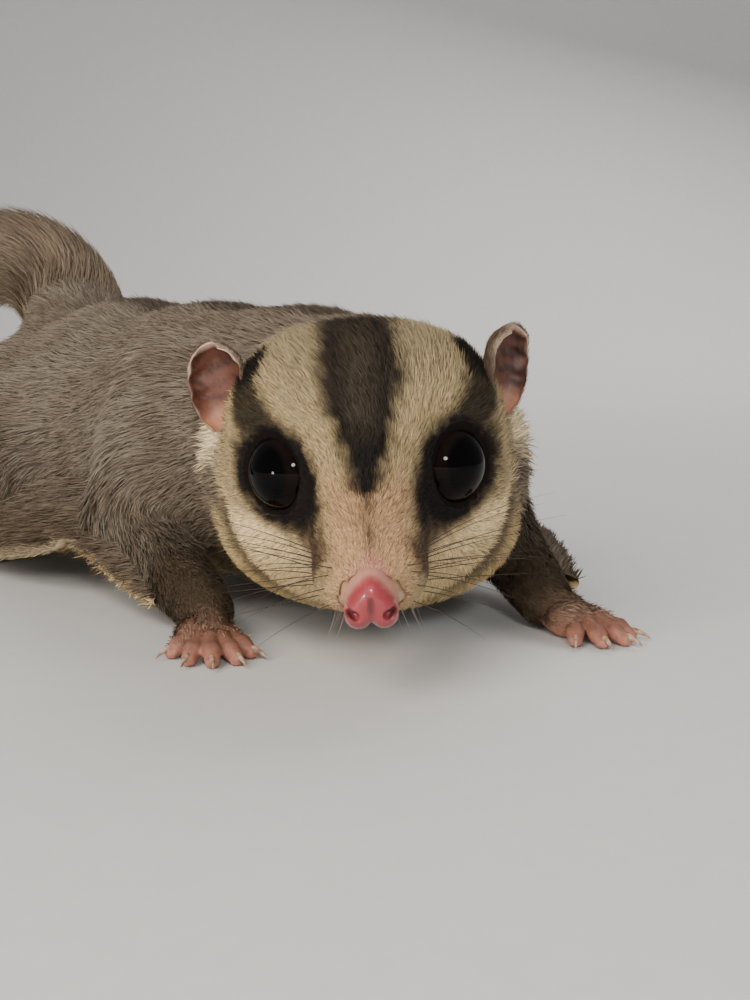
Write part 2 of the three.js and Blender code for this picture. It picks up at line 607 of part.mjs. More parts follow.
// The ear: a thin cupped leaf, its rim curled in at the top and its base sunk in the head
const EARS = {
  left: { base: [14.6, 12.6, 4.6], up: [0.36, 0.20, 0.88], face: [0.82, -0.55, 0.1] },
  right: { base: [14.8, 12.6, 4.4], up: [0.50, 0.24, 0.83], face: [0.34, -0.88, 0.1] },
};
const EAR_OUTLINE = { base: 0.52, swell: 0.62, start: 0.18, run: 0.62, close: 0.55 }; // shares of the width
const EAR_WRAP = [118, 84]; // degrees from the cup's middle to its rim, at the base and at the tip
const EAR_HOLLOW = 0.72; // the cup's depth against its width
const EAR_SINK = 0.16; // share of the height that lies under the skin
const EAR_CURL = { from: 0.72, by: 13.6, bend: 1.4 }; // the rim at the tip curls forwards
function earSolid(side) {
  const ear = EARS[side];
  const s = SEEN[side];
  const flip = (p) => [p[0] * s, p[1], p[2]];
  const up = unit(flip(ear.up));
  const across = unit(cross(up, flip(ear.face)));
  const face = cross(across, up);
  const ROWS = 8;
  const COLUMNS = 9;
  const point = (u, v, shell) => {
    const turn = Math.PI * Math.min(u * EAR_OUTLINE.run + EAR_OUTLINE.start, 1);
    const swell = EAR_OUTLINE.swell * Math.sin(turn);
    const width = (EAR_OUTLINE.base + swell - EAR_OUTLINE.close * u ** 5) * EAR_WIDTH;
    const radius = width - shell * EAR_THICKNESS;
    const angle = v * radians(EAR_WRAP[0] + (EAR_WRAP[1] - EAR_WRAP[0]) * u);
    const lean = 1.6 * u * u - EAR_CURL.by * Math.max(u - EAR_CURL.from, 0) ** EAR_CURL.bend;
    const hollow = scale(face, -radius * Math.cos(angle) * EAR_HOLLOW + 1.2 - lean * 0.6);
    const height = EAR_HEIGHT * (u - EAR_SINK) * (1 - 0.1 * v * v) - shell * 0.9 * u;
    return add(add(flip(ear.base), scale(up, height)), add(scale(across, radius * Math.sin(angle)), hollow));
  };
  const positions = [];
  const triangles = [];
  const id = (shell, r, c) => (shell * ROWS + r) * COLUMNS + c;
  for (let shell = 0; shell < 2; shell++)
    for (let r = 0; r < ROWS; r++)
      for (let c = 0; c < COLUMNS; c++)
        positions.push(...point(r / (ROWS - 1), (2 * c) / (COLUMNS - 1) - 1, shell));
  const quad = (a, b, c, d) => triangles.push(a, b, c, a, c, d);
  for (let r = 0; r + 1 < ROWS; r++)
    for (let c = 0; c + 1 < COLUMNS; c++) {
      quad(id(0, r, c), id(0, r, c + 1), id(0, r + 1, c + 1), id(0, r + 1, c));
      quad(id(1, r, c), id(1, r + 1, c), id(1, r + 1, c + 1), id(1, r, c + 1));
    }
  for (let r = 0; r + 1 < ROWS; r++) {
    quad(id(0, r, 0), id(0, r + 1, 0), id(1, r + 1, 0), id(1, r, 0));
    quad(id(0, r + 1, COLUMNS - 1), id(0, r, COLUMNS - 1), id(1, r, COLUMNS - 1), id(1, r + 1, COLUMNS - 1));
  }
  for (let c = 0; c + 1 < COLUMNS; c++) {
    quad(id(0, 0, c + 1), id(0, 0, c), id(1, 0, c), id(1, 0, c + 1));
    quad(id(0, ROWS - 1, c), id(0, ROWS - 1, c + 1), id(1, ROWS - 1, c + 1), id(1, ROWS - 1, c));
  }
  const geometry = new THREE.BufferGeometry();
  geometry.setAttribute("position", new THREE.Float32BufferAttribute(positions, 3));
  geometry.setIndex(triangles);
  geometry.applyMatrix4(headMatrix);
  let solid = solidOf(geometry);
  if (solid.volume() < 0) {
    geometry.setIndex(triangles.map((_, i) => triangles[i - (i % 3) + [0, 2, 1][i % 3]]));
    solid = solidOf(geometry);
  }
  return solid;
}

function makeEar(side) {
  const box = boxAround([headPoint([EARS[side].base[0] * SEEN[side], 12, 6])], 22);
  return largest(earSolid(side).subtract(surface(axialField, box, CUT_CELL.ear, GAP + SLACK.ear)));
}

// The membrane: a slab from its root to its rolled free margin, cut back from the body and legs
function makePatagium(name, legs, paws) {
  const STEPS = 11;
  const [root, edge] = ["root", "edge"].map((row) =>
    new THREE.CatmullRomCurve3(PATAGIA[name][row].map((p) => new THREE.Vector3(...p)))
      .getPoints(STEPS).map((p) => p.toArray()));
  const rings = root.map((inner, i) => {
    const outer = edge[i];
    const along = unit(sub(root[Math.min(i + 1, STEPS)], root[Math.max(i - 1, 0)]));
    const outward = sub(outer, inner);
    const over = unit(cross(along, outward));
    const up = over[2] > 0 ? over : scale(over, -1);
    return MEMBRANE_SECTION.map(([t, h]) => add(add(inner, scale(outward, t)), scale(up, h * MEMBRANE_HALF)));
  });
  const middle = (i) => mix(root.at(i), edge.at(i), 0.5);
  let solid = loft(rings, middle(0), middle(-1));
  const bodyBox = boxAround([...root, ...edge], 8);
  solid = solid.subtract(surface(axialField, bodyBox, CUT_CELL.body, GAP + SLACK.membrane));
  for (const leg of legs) {
    const legBox = boxAround(leg.joints, leg.radii[0] + 8);
    solid = solid.subtract(surface(legField(leg), legBox, CUT_CELL.leg, GAP + SLACK.membraneAtLeg));
  }
  for (const paw of paws) {
    const pawBox = boxAround([paw.wrist, palmEnd(paw)], paw.palmRadius + 4);
    solid = solid.subtract(surface(palmField(paw), pawBox, CUT_CELL.palm, GAP + SLACK.membrane));
  }
  return largest(solid.intersect(aboveSoles));
}

// The tail in lengths, parted across its path, each with locks of fur over a slim core
const tailCurve = new THREE.CatmullRomCurve3(TAIL_PATH.map((p) => new THREE.Vector3(...p)));
const TAIL_LENGTH = tailCurve.getLength();
const TAIL_CUTS = [0.06, 0.3, 0.54, 0.77, 1];
const LOCK_ROWS = [0.17, 0.46, 0.74]; // shares of each length where locks are rooted
const LOCKS_AROUND = [6, 5, 5, 4]; // in each length
const LOCK_LENGTH = 27;
const LOCK_WIDTH = 8.4;
const LOCK_THICKNESS = 1.2;
const CORE_SHARE = 0.48; // of the coat's radius
const ROOT_RADIUS = 9.4; // of the core where it leaves the rump
const CORE_END = 0.95; // share of the tail's path that the core fills
const COAT_OUTLINE = { root: 0.8, swell: 0.25, run: 1.1, close: 0.68, bluntness: 8 };
const CORE_SLIMS = [0.04, 0.15]; // shares of the path between which the core leaves the rump's width
const coatRadius = (t) => {
  const swell = COAT_OUTLINE.swell * Math.sin(Math.PI * Math.min(t * COAT_OUTLINE.run, 1));
  return TAIL_COAT * (COAT_OUTLINE.root + swell - COAT_OUTLINE.close * t ** COAT_OUTLINE.bluntness);
};
const coreRadius = (t) => {
  const rise = THREE.MathUtils.smoothstep(t, ...CORE_SLIMS);
  return ROOT_RADIUS * (1 - rise) + CORE_SHARE * coatRadius(t) * rise;
};

// The point at a share of the tail's path, an angle round it and a distance from its middle
function tailPoint(t, angle, radius) {
  const inside = Math.min(t, 1);
  const tangent = tailCurve.getTangentAt(inside).toArray();
  const middle = add(tailCurve.getPointAt(inside).toArray(), scale(tangent, (t - inside) * TAIL_LENGTH));
  const side = unit(cross(tangent, [0, 0, 1]));
  const over = cross(side, tangent);
  return add(middle, add(scale(side, radius * Math.cos(angle)), scale(over, radius * Math.sin(angle))));
}

// A repeatable source of numbers from 0 to 1
function seeded(seed) {
  let state = seed;
  return () => {
    state = (state * 1664525 + 1013904223) % 4294967296;
    return state / 4294967296;
  };
}

// A flat lock from inside the core to the coat's outside, tapering and bending with the tail
const LOCK_RINGS = [[0, 0.6], [0.42, 1], [0.78, 0.7]]; // share of its reach, and of its width there
const LOCK_SINK = 1.2; // of its root in the core
const LOCK_CLEAR = 0.3; // over the floor
const PATH_LIMIT = 1.02; // share of the tail's path that the last tips may come to
function lockSolid(root, angle, random) {
  const reach = (LOCK_LENGTH * (0.88 + 0.24 * random())) / TAIL_LENGTH;
  const twist = 0.5 * (random() - 0.5);
  const height = 0.93 + 0.07 * random();
  const width = LOCK_WIDTH * (0.85 + 0.3 * random());
  const centreOf = (u) => {
    const t = Math.min(root + reach * u, PATH_LIMIT);
    const inner = coreRadius(root) - LOCK_SINK;
    const outer = coatRadius(Math.min(t, 1)) * height - LOCK_THICKNESS / 2;
    return [t, angle + twist * u, inner + (outer - inner) * Math.max(u, 0) ** 0.9];
  };
  const rings = LOCK_RINGS.map(([u, share]) => {
    const [t, a, radius] = centreOf(u);
    const spread = (width * share) / 2 / Math.max(radius, 4);
    const thick = (LOCK_THICKNESS / 2) * (1.1 - 0.4 * u);
    const ring = [
      tailPoint(t, a + spread, radius), tailPoint(t, a, radius + thick),
      tailPoint(t, a - spread, radius), tailPoint(t, a, radius - thick),
    ];
    // What would lie under the floor is lifted onto it.
    const lift = Math.max(0, FLAT + LOCK_CLEAR - ring[1][2], FLAT + LOCK_CLEAR - ring[3][2]);
    return ring.map((p) => add(p, [0, 0, lift]));
  });
  const tip = tailPoint(...centreOf(1));
  tip[2] = Math.max(tip[2], FLAT + LOCK_CLEAR);
  return loft(rings, tailPoint(...centreOf(-0.04)), tip);
}

function makeTailLength(i) {
  const STEPS = 6;
  const SIDES = 8;
  const OVER = 0.03; // runs past each cut, which the planes take off
  const [from, to] = [TAIL_CUTS[i], TAIL_CUTS[i + 1]];
  const last = i === TAIL_CUTS.length - 2;
  const start = Math.max(from - OVER, 0);
  const end = last ? CORE_END : to + OVER;
  const stops = Array.from({ length: STEPS + 1 }, (_, k) => start + ((end - start) * k) / STEPS);
  const widths = stops.map(coreRadius);
  const planeAt = (t) => ({
    point: tailCurve.getPointAt(t).toArray(),
    normal: tailCurve.getTangentAt(t).toArray(),
  });
  let solid = tube(stops.map((t) => tailCurve.getPointAt(t).toArray()), widths, widths, SIDES, [0, 0, 1]);
  solid = solid.intersect(i === 0 ? beyond(TAIL_PLANE) : beyond(planeAt(from)));
  if (!last) solid = solid.intersect(before(planeAt(to)));
  const random = seeded(17 + i);
  const rows = last ? LOCK_ROWS.slice(0, 2) : LOCK_ROWS;
  rows.forEach((share, row) => {
    for (let k = 0; k < LOCKS_AROUND[i]; k++) {
      const angle = ((k + 0.5 * (row % 2) + 0.25 * (random() - 0.5)) / LOCKS_AROUND[i]) * 2 * Math.PI;
      const root = from + (to - from) * (share + 0.04 * (random() - 0.5));
      solid = solid.add(lockSolid(root, angle, random));
    }
  });
  return largest(solid.intersect(aboveSoles));
}

// Colours of the coat and the bare parts
const COLOURS = {
  coat: [0x7d7265, 0.95], face: [0xb9a581, 0.95], cream: [0xcdbb93, 0.95], pink: [0xd98a8a, 0.55],
  eye: [0x0a0a0c, 0.05], ear: [0xb98478, 0.7], paw: [0xc89286, 0.7], tail: [0x6d6153, 0.95],
  tailTip: [0x25211e, 0.95],
};
const group = new THREE.Group();
function addNode(name, solid, colour) {
  const [color, roughness] = COLOURS[colour];
  const material = new THREE.MeshStandardMaterial({ color, roughness, metalness: 0 });
  const mesh = new THREE.Mesh(geometryOf(solid), material);
  mesh.name = name;
  group.add(mesh);
}

const nodes = [
  ["head", makeHead(), "face"],
  ["nose", makeNose(), "pink"],
  ["neck", makeNeck(), "cream"],
  ["torso", makeTorso(), "coat"],
];
for (const side of ["left", "right"]) {
  nodes.push(["eye_" + side, eyeBall(side, EYE_RADIUS), "eye"]);
  nodes.push(["ear_" + side, makeEar(side), "ear"]);
}
const legSolids = {};
for (const [name, leg] of Object.entries(LEGS)) legSolids[name] = makeLeg(leg);
const pawSolids = {};
for (const [name, paw] of Object.entries(PAWS)) {
  const legName = name.replace("paw", "leg");
  const raw = makePaw(paw).intersect(aboveSoles);
  const leg = LEGS[legName];
  const cell = leg.cell;
  const legBox = boxAround([leg.joints[2]], 16, cell);
  const clearance = GAP + SLACK.pawShareOfCell * cell;
  pawSolids[name] = largest(raw.subtract(surface(legField(leg), legBox, cell, clearance)));
}
for (const [name, solid] of Object.entries(legSolids)) nodes.push([name, solid, "coat"]);
for (const [name, solid] of Object.entries(pawSolids)) nodes.push([name, solid, "paw"]);
for (const side of ["left", "right"]) {
  const legs = [LEGS["foreleg_" + side], LEGS["hindleg_" + side]];
  const paws = [PAWS["forepaw_" + side], PAWS["hindpaw_" + side]];
  nodes.push(["patagium_" + side, makePatagium("patagium_" + side, legs, paws), "coat"]);
}
for (let i = 0; i + 1 < TAIL_CUTS.length; i++)
  nodes.push(["tail_" + (i + 1), makeTailLength(i), i < 3 ? "tail" : "tailTip"]);
for (const [name, solid, colour] of nodes) addNode(name, solid, colour);

// The part's own origin is the middle of its box at the floor.
const extent = new THREE.Box3().setFromObject(group);
const middle = extent.getCenter(new THREE.Vector3());
for (const mesh of group.children) mesh.geometry.translate(-middle.x, -middle.y, -extent.min.z);

export default group;
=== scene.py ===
"""Looks of a sugar glider crouching on the floor: skin, fur, eyes, ears, claws and whiskers, in metres."""

import math

import bpy
import numpy as np
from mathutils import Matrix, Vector


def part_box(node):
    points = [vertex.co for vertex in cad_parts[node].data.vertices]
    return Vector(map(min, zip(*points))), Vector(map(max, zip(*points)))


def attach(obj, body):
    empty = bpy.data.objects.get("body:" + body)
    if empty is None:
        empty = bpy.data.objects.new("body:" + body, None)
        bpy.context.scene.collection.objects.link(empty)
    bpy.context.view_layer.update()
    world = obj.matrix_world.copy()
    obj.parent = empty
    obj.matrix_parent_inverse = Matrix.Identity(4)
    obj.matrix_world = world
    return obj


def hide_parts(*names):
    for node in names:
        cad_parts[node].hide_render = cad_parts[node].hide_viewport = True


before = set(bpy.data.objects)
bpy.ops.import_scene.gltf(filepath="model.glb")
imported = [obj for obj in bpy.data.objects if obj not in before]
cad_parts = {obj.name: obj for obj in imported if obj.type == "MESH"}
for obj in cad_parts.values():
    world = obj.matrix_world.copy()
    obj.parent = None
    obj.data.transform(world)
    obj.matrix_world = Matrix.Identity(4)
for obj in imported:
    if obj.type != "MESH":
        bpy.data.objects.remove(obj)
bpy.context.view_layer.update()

# The anatomy is laid out in millimetres, as in the solids: eyes 23 above the floor, face towards -Y.
MILLIMETRES = 1000
FLOOR = 0.35
EYE_HEIGHT = 23
HEAD_PITCH = 16
HEAD_ROLL = 2.5
EYE_RADIUS = 4.9
EYE_CENTRE = (8.7, 2.1, 0.2)
EYE_AXIS = (0.72, -0.66, 0.2)
ORBIT_RADIUS = 11
ORBIT_DEPTH = 0.55
NOSE_TIP = np.array([0, -20.5, -5.6])


def unit(v):
    v = np.asarray(v, float)
    return v / np.maximum(np.linalg.norm(v, axis=-1, keepdims=True), 1e-9)


def across_of(axis):
    """Two directions across an axis, the first one level."""
    side = unit(np.cross(axis, [0, 0, 1]))
    return side, np.cross(side, axis)


def along_skin(way, normals):
    return unit(way - normals * (way * normals).sum(1)[:, None])


# Head frame: x to the animal's left, y backwards, z up, origin between the eyes
def rotation(axis, degrees):
    c, s = math.cos(math.radians(degrees)), math.sin(math.radians(degrees))
    i, j = [(1, 2), (2, 0), (0, 1)][axis]
    m = np.eye(3)
    m[i, i], m[i, j], m[j, i], m[j, j] = c, -s, s, c
    return m


HEAD_TURN = rotation(1, -HEAD_ROLL) @ rotation(0, HEAD_PITCH)
HEAD_ORIGIN = np.array([0, 0, EYE_HEIGHT], float)


def head_point(p):
    return np.asarray(p, float) @ HEAD_TURN.T + HEAD_ORIGIN


def head_direction(d):
    return np.asarray(d, float) @ HEAD_TURN.T


def to_head(p):
    return (p - HEAD_ORIGIN) @ HEAD_TURN


# Body frame: along runs from the shoulders to the rump, out towards the animal's right
SHOULDER = np.array([-9.0, 38.0, 0.0])
ALONG = np.array([-0.59, 0.807, 0.0])
OUT = np.array([-0.807, -0.59, 0.0])


def body_point(along, out, z):
    return SHOULDER + ALONG * along + OUT * out + np.array([0, 0, z])


# Distance fields, each from points (n, 3) to distances (n)
def round_cone(a, b, ra, rb):
    a, b = np.asarray(a, float), np.asarray(b, float)
    ba = b - a
    l2 = ba @ ba
    rr = ra - rb
    a2 = l2 - rr * rr

    def field(p):
        pa = p - a
        y = pa @ ba
        z = y - l2
        x2 = ((pa * l2 - y[:, None] * ba) ** 2).sum(1)
        y2 = y * y * l2
        z2 = z * z * l2
        k = np.sign(rr) * rr * rr * x2
        at_b = np.sqrt(x2 + z2) / l2 - rb
        at_a = np.sqrt(x2 + y2) / l2 - ra
        between = (np.sqrt(x2 * a2 / l2) + y * rr) / l2 - ra
        near_b = np.sign(z) * a2 * z2 > k
        near_a = np.sign(y) * a2 * y2 < k
        return np.where(near_b, at_b, np.where(near_a, at_a, between))

    return field


def ellipsoid(centre, radii):
    centre, radii = np.asarray(centre, float), np.asarray(radii, float)

    def field(p):
        q = p - centre
        k0 = np.sqrt(((q / radii) ** 2).sum(1))
        k1 = np.sqrt(((q / radii**2) ** 2).sum(1))
        return k0 * (k0 - 1) / np.maximum(k1, 1e-9)

    return field


def smooth_min(a, b, k):
    h = np.maximum(k - np.abs(a - b), 0) / k
    return np.minimum(a, b) - h * h * k * 0.25


def smooth_max(a, b, k):
    return -smooth_min(-a, -b, k)


def blend(fields, k):
    def field(p):
        d = fields[0](p)
        for other in fields[1:]:
            d = smooth_min(d, other(p), k)
        return d

    return field


def mirrored(make):
    return [make(1), make(-1)]


# Head: cranium, face, cheeks, muzzle, whisker pads and lower jaw
head_flesh = blend(
    [
        ellipsoid([0, 10, 1.2], [15.0, 14.4, 11.4]),
        *mirrored(lambda s: ellipsoid([s * 8.0, 11.5, 4.0], [7.4, 10.5, 8.4])),
        *mirrored(lambda s: ellipsoid([s * 9.0, 6.6, -5.8], [6.4, 8.4, 7.6])),
        ellipsoid([0, -2.5, 1.0], [6.6, 10.5, 6.8]),
        round_cone([0, -4.5, -4.2], [0, -15.4, -5.3], 7.4, 3.1),
        *mirrored(lambda s: ellipsoid([s * 2.9, -12.6, -6.4], [3.2, 4.4, 3.0])),
        round_cone([0, 6, -10.0], [0, -10.8, -9.2], 6.0, 2.5),
    ],
    3.6,
)
nose_pad = blend(
    [
        ellipsoid([0, -19.0, -5.4], [2.4, 2.3, 2.5]),
        *mirrored(lambda s: ellipsoid([s * 1.5, -19.0, -6.2], [1.8, 2.0, 1.7])),
    ],
    1.1,
)


def eye_centre(s):
    return np.array([EYE_CENTRE[0] * s, EYE_CENTRE[1], EYE_CENTRE[2]])


def eye_axis(s):
    return unit([EYE_AXIS[0] * s, EYE_AXIS[1], EYE_AXIS[2]])


def head_field(p):
    q = to_head(p)
    bowls = np.full(len(p), 1e3)
    for s in (1, -1):
        centre = eye_centre(s) + eye_axis(s) * (ORBIT_DEPTH + ORBIT_RADIUS)
        bowls = np.minimum(bowls, np.linalg.norm(q - centre, axis=1) - ORBIT_RADIUS)
    return smooth_min(smooth_max(head_flesh(q), -bowls, 2), nose_pad(q), 1.6)


neck_field = blend(
    [
        ellipsoid([0.6, 19, 23.3], [20.6, 11, 16.8]),
        ellipsoid([0.2, 13.5, 14.6], [18.2, 10.5, 10.4]),
        round_cone(head_point([0, 12, -1.5]), body_point(0, 0, 22.4), 16, 18.4),
    ],
    6,
)
TAIL_PATH = np.array(
    [
        body_point(76, 1, 28), [-57.5, 113, 42], [-67.5, 121, 51], [-84.5, 127, 50.5], [-104, 127, 39.5],
        [-122, 120.5, 24], [-138, 109.5, 12.5], [-150, 94, 9.4], [-155, 76, 6.4], [-153, 59, 2.2],
    ]
)
torso_field = blend(
    [
        round_cone(body_point(0, 0, 22.4), body_point(24, 0, 22.2), 18.8, 19.4),
        round_cone(body_point(24, 0, 22.2), body_point(52, 0, 22.4), 19.4, 19.8),
        round_cone(body_point(52, 0, 22.4), body_point(74, 0, 21.6), 19.8, 18.2),
        *mirrored(lambda s: ellipsoid(body_point(8, s * 11, 24), [11.5, 11.5, 14])),
        *mirrored(lambda s: ellipsoid(body_point(60, s * 11, 20), [15, 15, 15])),
        round_cone(body_point(70, 1, 27), TAIL_PATH[1], 12, 9.5),
    ],
    8,
)


def axial_field(p):
    return smooth_min(smooth_min(head_field(p), neck_field(p), 5), torso_field(p), 8)


# Legs: joints, radii and how softly the upper and the lower part run into the body
LEGS = {
    "foreleg_right": ([[-25, 44, 26], [-33.5, 37, 13.2], [-20.5, 12.5, 4.3]], (12.5, 7.2, 3.7), 6, 3),
    "foreleg_left": ([[6, 46, 25], [17, 40.5, 12.2], [23.2, 20, 4.3]], (12, 6.6, 3.8), 6, 3),
}
for side, s in (("right", 1), ("left", -1)):
    joints = [body_point(72, s * 13, 21), body_point(57, s * 23, 16.5), body_point(73, s * 23.5, 5.2)]
    LEGS["hindleg_" + side] = (joints, (14.5, 9.2, 4.6), 7, 3.5)


def leg_parts(leg):
    joints, radii, upper, lower = LEGS[leg]
    thigh = round_cone(joints[0], joints[1], radii[0], radii[1])
    shank = round_cone(joints[1], joints[2], radii[1] * 0.93, radii[2])
    return thigh, shank, upper, lower


LEG_PARTS = {name: leg_parts(name) for name in LEGS}


def flesh_field(p):
    axial = axial_field(p)
    d = axial
    for thigh, shank, upper, lower in LEG_PARTS.values():
        d = np.minimum(d, smooth_min(smooth_min(axial, thigh(p), upper), shank(p), lower))
    return d


# The part's own frame is the anatomy moved so that its box stands on the origin.
eye_low, eye_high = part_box("eye_left")
SHIFT = head_point(eye_centre(1)) - (np.array(eye_low) + np.array(eye_high)) / 2 * MILLIMETRES


def to_part(p):
    return (np.asarray(p, float) - SHIFT) / MILLIMETRES


def srgb(red, green, blue):
    c = np.array([red, green, blue], float) / 255
    return np.where(c <= 0.04045, c / 12.92, ((c + 0.055) / 1.055) ** 2.4)


def smooth_step(x, low, high):
    t = np.clip((x - low) / (high - low), 0, 1)
    return t * t * (3 - 2 * t)


def mix(a, b, t):
    t = np.asarray(t, float)
    if np.ndim(a) == 2 or np.ndim(b) == 2:
        t = t[:, None]
    return a * (1 - t) + b * t


# Smooth waves without order, between about -1 and 1
def waves(p, size, seed):
    rng = np.random.default_rng(seed)
    total = np.zeros(len(p))
    for octave in range(3):
        pitch = 2 * math.pi / (size * 0.55**octave)
        q = p @ unit(rng.normal(size=(3, 3))).T * pitch + rng.uniform(0, 2 * math.pi, 3)
        total += np.sin(q[:, 0] + 1.3 * np.sin(q[:, 1])) * np.cos(q[:, 2] + np.sin(q[:, 0])) * 0.62**octave
    return total / 1.4


def segment_distance(p, a, b):
    a, b = np.asarray(a, float), np.asarray(b, float)
    t = np.clip((p - a) @ (b - a) / ((b - a) @ (b - a)), 0, 1)
    return np.linalg.norm(p - a - t[:, None] * (b - a), axis=1)


# Surface of a field: surface nets over the blocks that it runs through, with points drawn onto it
def surface_net(field, low, high, cell, block=4):
    low = np.asarray(low, float)
    counts = np.ceil((np.asarray(high, float) - low) / cell / block).astype(int)
    shape = counts * block + 1
    grid = np.stack(np.meshgrid(*[np.arange(n) for n in counts], indexing="ij"), -1).reshape(-1, 3)
    coarse = field(low + (grid + 0.5) * block * cell)
    near = (np.abs(coarse) < (block / 2 + 1) * cell * math.sqrt(3) * 1.3).reshape(counts)
    places = [np.minimum(np.arange(n) // block, m - 1) for n, m in zip(shape, counts)]
    value = np.sign(coarse).reshape(counts)[np.ix_(*places)] * 1e3
    spots = np.argwhere(near[np.ix_(*places)])
    levels = [field(low + part * cell) for part in np.array_split(spots, max(len(spots) // 60000, 1))]
    value[tuple(spots.T)] = np.concatenate(levels)
    inside = value < 0
    corners = [(c & 1, (c >> 1) & 1, (c >> 2) & 1) for c in range(8)]
    count = sum(inside[tuple(slice(d, n - 1 + d) for d, n in zip(c, shape))].astype(np.int8) for c in corners)
    active = np.argwhere((count > 0) & (count < 8))
    v = np.stack([value[tuple((active + c).T)] for c in corners], 1)
    total = np.zeros((len(active), 3))
    crossings = np.zeros(len(active))
    for a in range(8):
        for bit in (1, 2, 4):
            if a & bit:
                continue
            b = a | bit
            crossed = (v[:, a] < 0) != (v[:, b] < 0)
            t = np.where(crossed, v[:, a] / np.where(crossed, v[:, a] - v[:, b], 1), 0)
            spot = np.array(corners[a]) + t[:, None] * (np.array(corners[b]) - np.array(corners[a]))
            total += spot * crossed[:, None]
            crossings += crossed
    points = low + (active + total / crossings[:, None]) * cell
    for _ in range(2):
        slope, d = gradient(field, points)
        step = d / np.maximum((slope**2).sum(1), 0.25)
        points = points - slope * np.clip(step, -cell, cell)[:, None]
    number = np.full(tuple(n - 1 for n in shape), -1)
    number[tuple(active.T)] = np.arange(len(active))
    faces = []
    for axis in range(3):
        one, two = [(1, 2), (2, 0), (0, 1)][axis]
        ahead = [slice(None)] * 3
        behind = [slice(None)] * 3
        ahead[axis] = slice(1, None)
        behind[axis] = slice(None, -1)
        first, second = inside[tuple(behind)], inside[tuple(ahead)]
        edges = np.argwhere(first != second)
        edges = edges[(edges[:, one] > 0) & (edges[:, two] > 0)]
        keep = (edges[:, one] < shape[one] - 1) & (edges[:, two] < shape[two] - 1)
        edges = edges[keep]
        quad = []
        for du, dv in ((0, 0), (1, 0), (1, 1), (0, 1)):
            spot = edges.copy()
            spot[:, one] -= du
            spot[:, two] -= dv
            quad.append(number[tuple(spot.T)])
        quad = np.stack(quad, 1)
        flip = ~first[tuple(edges.T)]
        quad[flip] = quad[flip][:, ::-1]
        faces.append(quad)
    faces = np.concatenate(faces)
    faces = faces[(faces >= 0).all(1)]
    slope, _ = gradient(field, points)
    return points, faces, unit(slope)


def gradient(field, p, h=0.05):
    base = field(p)
    slope = np.stack([(field(p + h * np.eye(3)[k]) - base) / h for k in range(3)], 1)
    return slope, base


# A piece from arrays: points in anatomy millimetres, faces all of one size
def make_piece(name, points, faces, material, slot, replaces=(), colours=None, uv=None):
    mesh = bpy.data.meshes.new(name)
    points = to_part(points)
    faces = np.asarray(faces)
    count, size = faces.shape
    mesh.vertices.add(len(points))
    mesh.vertices.foreach_set("co", points.astype(np.float32).ravel())
    mesh.loops.add(count * size)
    mesh.loops.foreach_set("vertex_index", faces.astype(np.int32).ravel())
    mesh.polygons.add(count)
    mesh.polygons.foreach_set("loop_start", np.arange(0, count * size, size, dtype=np.int32))
    mesh.polygons.foreach_set("use_smooth", np.ones(count, bool))
    mesh.update(calc_edges=True)
    if colours is not None:
        layer = mesh.color_attributes.new(name="Coat", type="FLOAT_COLOR", domain="POINT")
        rgba = np.ones((len(points), 4), np.float32)
        rgba[:, :3] = colours
        layer.data.foreach_set("color", rgba.ravel())
    if uv is not None:
        layer = mesh.uv_layers.new(name="OFBake")
        layer.data.foreach_set("uv", uv[faces.ravel()].astype(np.float32).ravel())
    mesh.materials.append(material)
    piece = bpy.data.objects.new(name, mesh)
    bpy.context.scene.collection.objects.link(piece)
    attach(piece, "root")
    if replaces:
        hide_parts(*replaces)


# Quads between rows of points, closed round each row or open like a sheet
def grid_faces(rows, columns, closed=True):
    r, c = np.meshgrid(np.arange(rows - 1), np.arange(columns if closed else columns - 1), indexing="ij")
    d = (c + 1) % columns
    below, above = r * columns, (r + 1) * columns
    return np.stack([below + c, below + d, above + d, above + c], -1).reshape(-1, 4)


# A tube along points, open at both ends, where its radii are next to nothing
def tube(path, radii, sides, flatten=1.0):
    tangent = unit(np.gradient(path, axis=0))
    helper = [0, 0, 1] if abs(tangent[0][2]) < 0.9 else [1, 0, 0]
    side = unit(np.cross(tangent, helper))[:, None]
    over = np.cross(side[:, 0], tangent)[:, None]
    angle = np.linspace(0, 2 * math.pi, sides, endpoint=False)[None, :, None]
    ring = side * np.cos(angle) + over * (flatten * np.sin(angle))
    points = (path[:, None] + ring * radii[:, None, None]).reshape(-1, 3)
    return points, grid_faces(len(path), sides)


def curve(points, count, even=False):
    """Centripetal Catmull-Rom curve through the points; even spaces the result by length."""
    p = np.asarray(points, float)
    q = np.concatenate([[2 * p[0] - p[1]], p, [2 * p[-1] - p[-2]]])
    spots = np.linspace(0, len(p) - 1, 4001 if even else count)
    i = np.minimum(spots.astype(int), len(p) - 2)
    w = (spots - i)[:, None]
    x0, x1, x2, x3 = q[i], q[i + 1], q[i + 2], q[i + 3]
    d0, d1, d2 = (np.linalg.norm(b - a, axis=1)[:, None] ** 0.5 for a, b in ((x0, x1), (x1, x2), (x2, x3)))
    t1 = ((x1 - x0) / d0 - (x2 - x0) / (d0 + d1) + (x2 - x1) / d1) * d1
    t2 = ((x2 - x1) / d1 - (x3 - x1) / (d1 + d2) + (x3 - x2) / d2) * d1
    c2 = -3 * x1 + 3 * x2 - 2 * t1 - t2
    c3 = 2 * x1 - 2 * x2 + t1 + t2
    dense = x1 + t1 * w + c2 * w**2 + c3 * w**3
    if not even:
        return dense
    run = np.concatenate([[0], np.cumsum(np.linalg.norm(np.diff(dense, axis=0), axis=1))])
    want = np.linspace(0, run[-1], count)
    return np.stack([np.interp(want, run, dense[:, k]) for k in range(3)], 1)


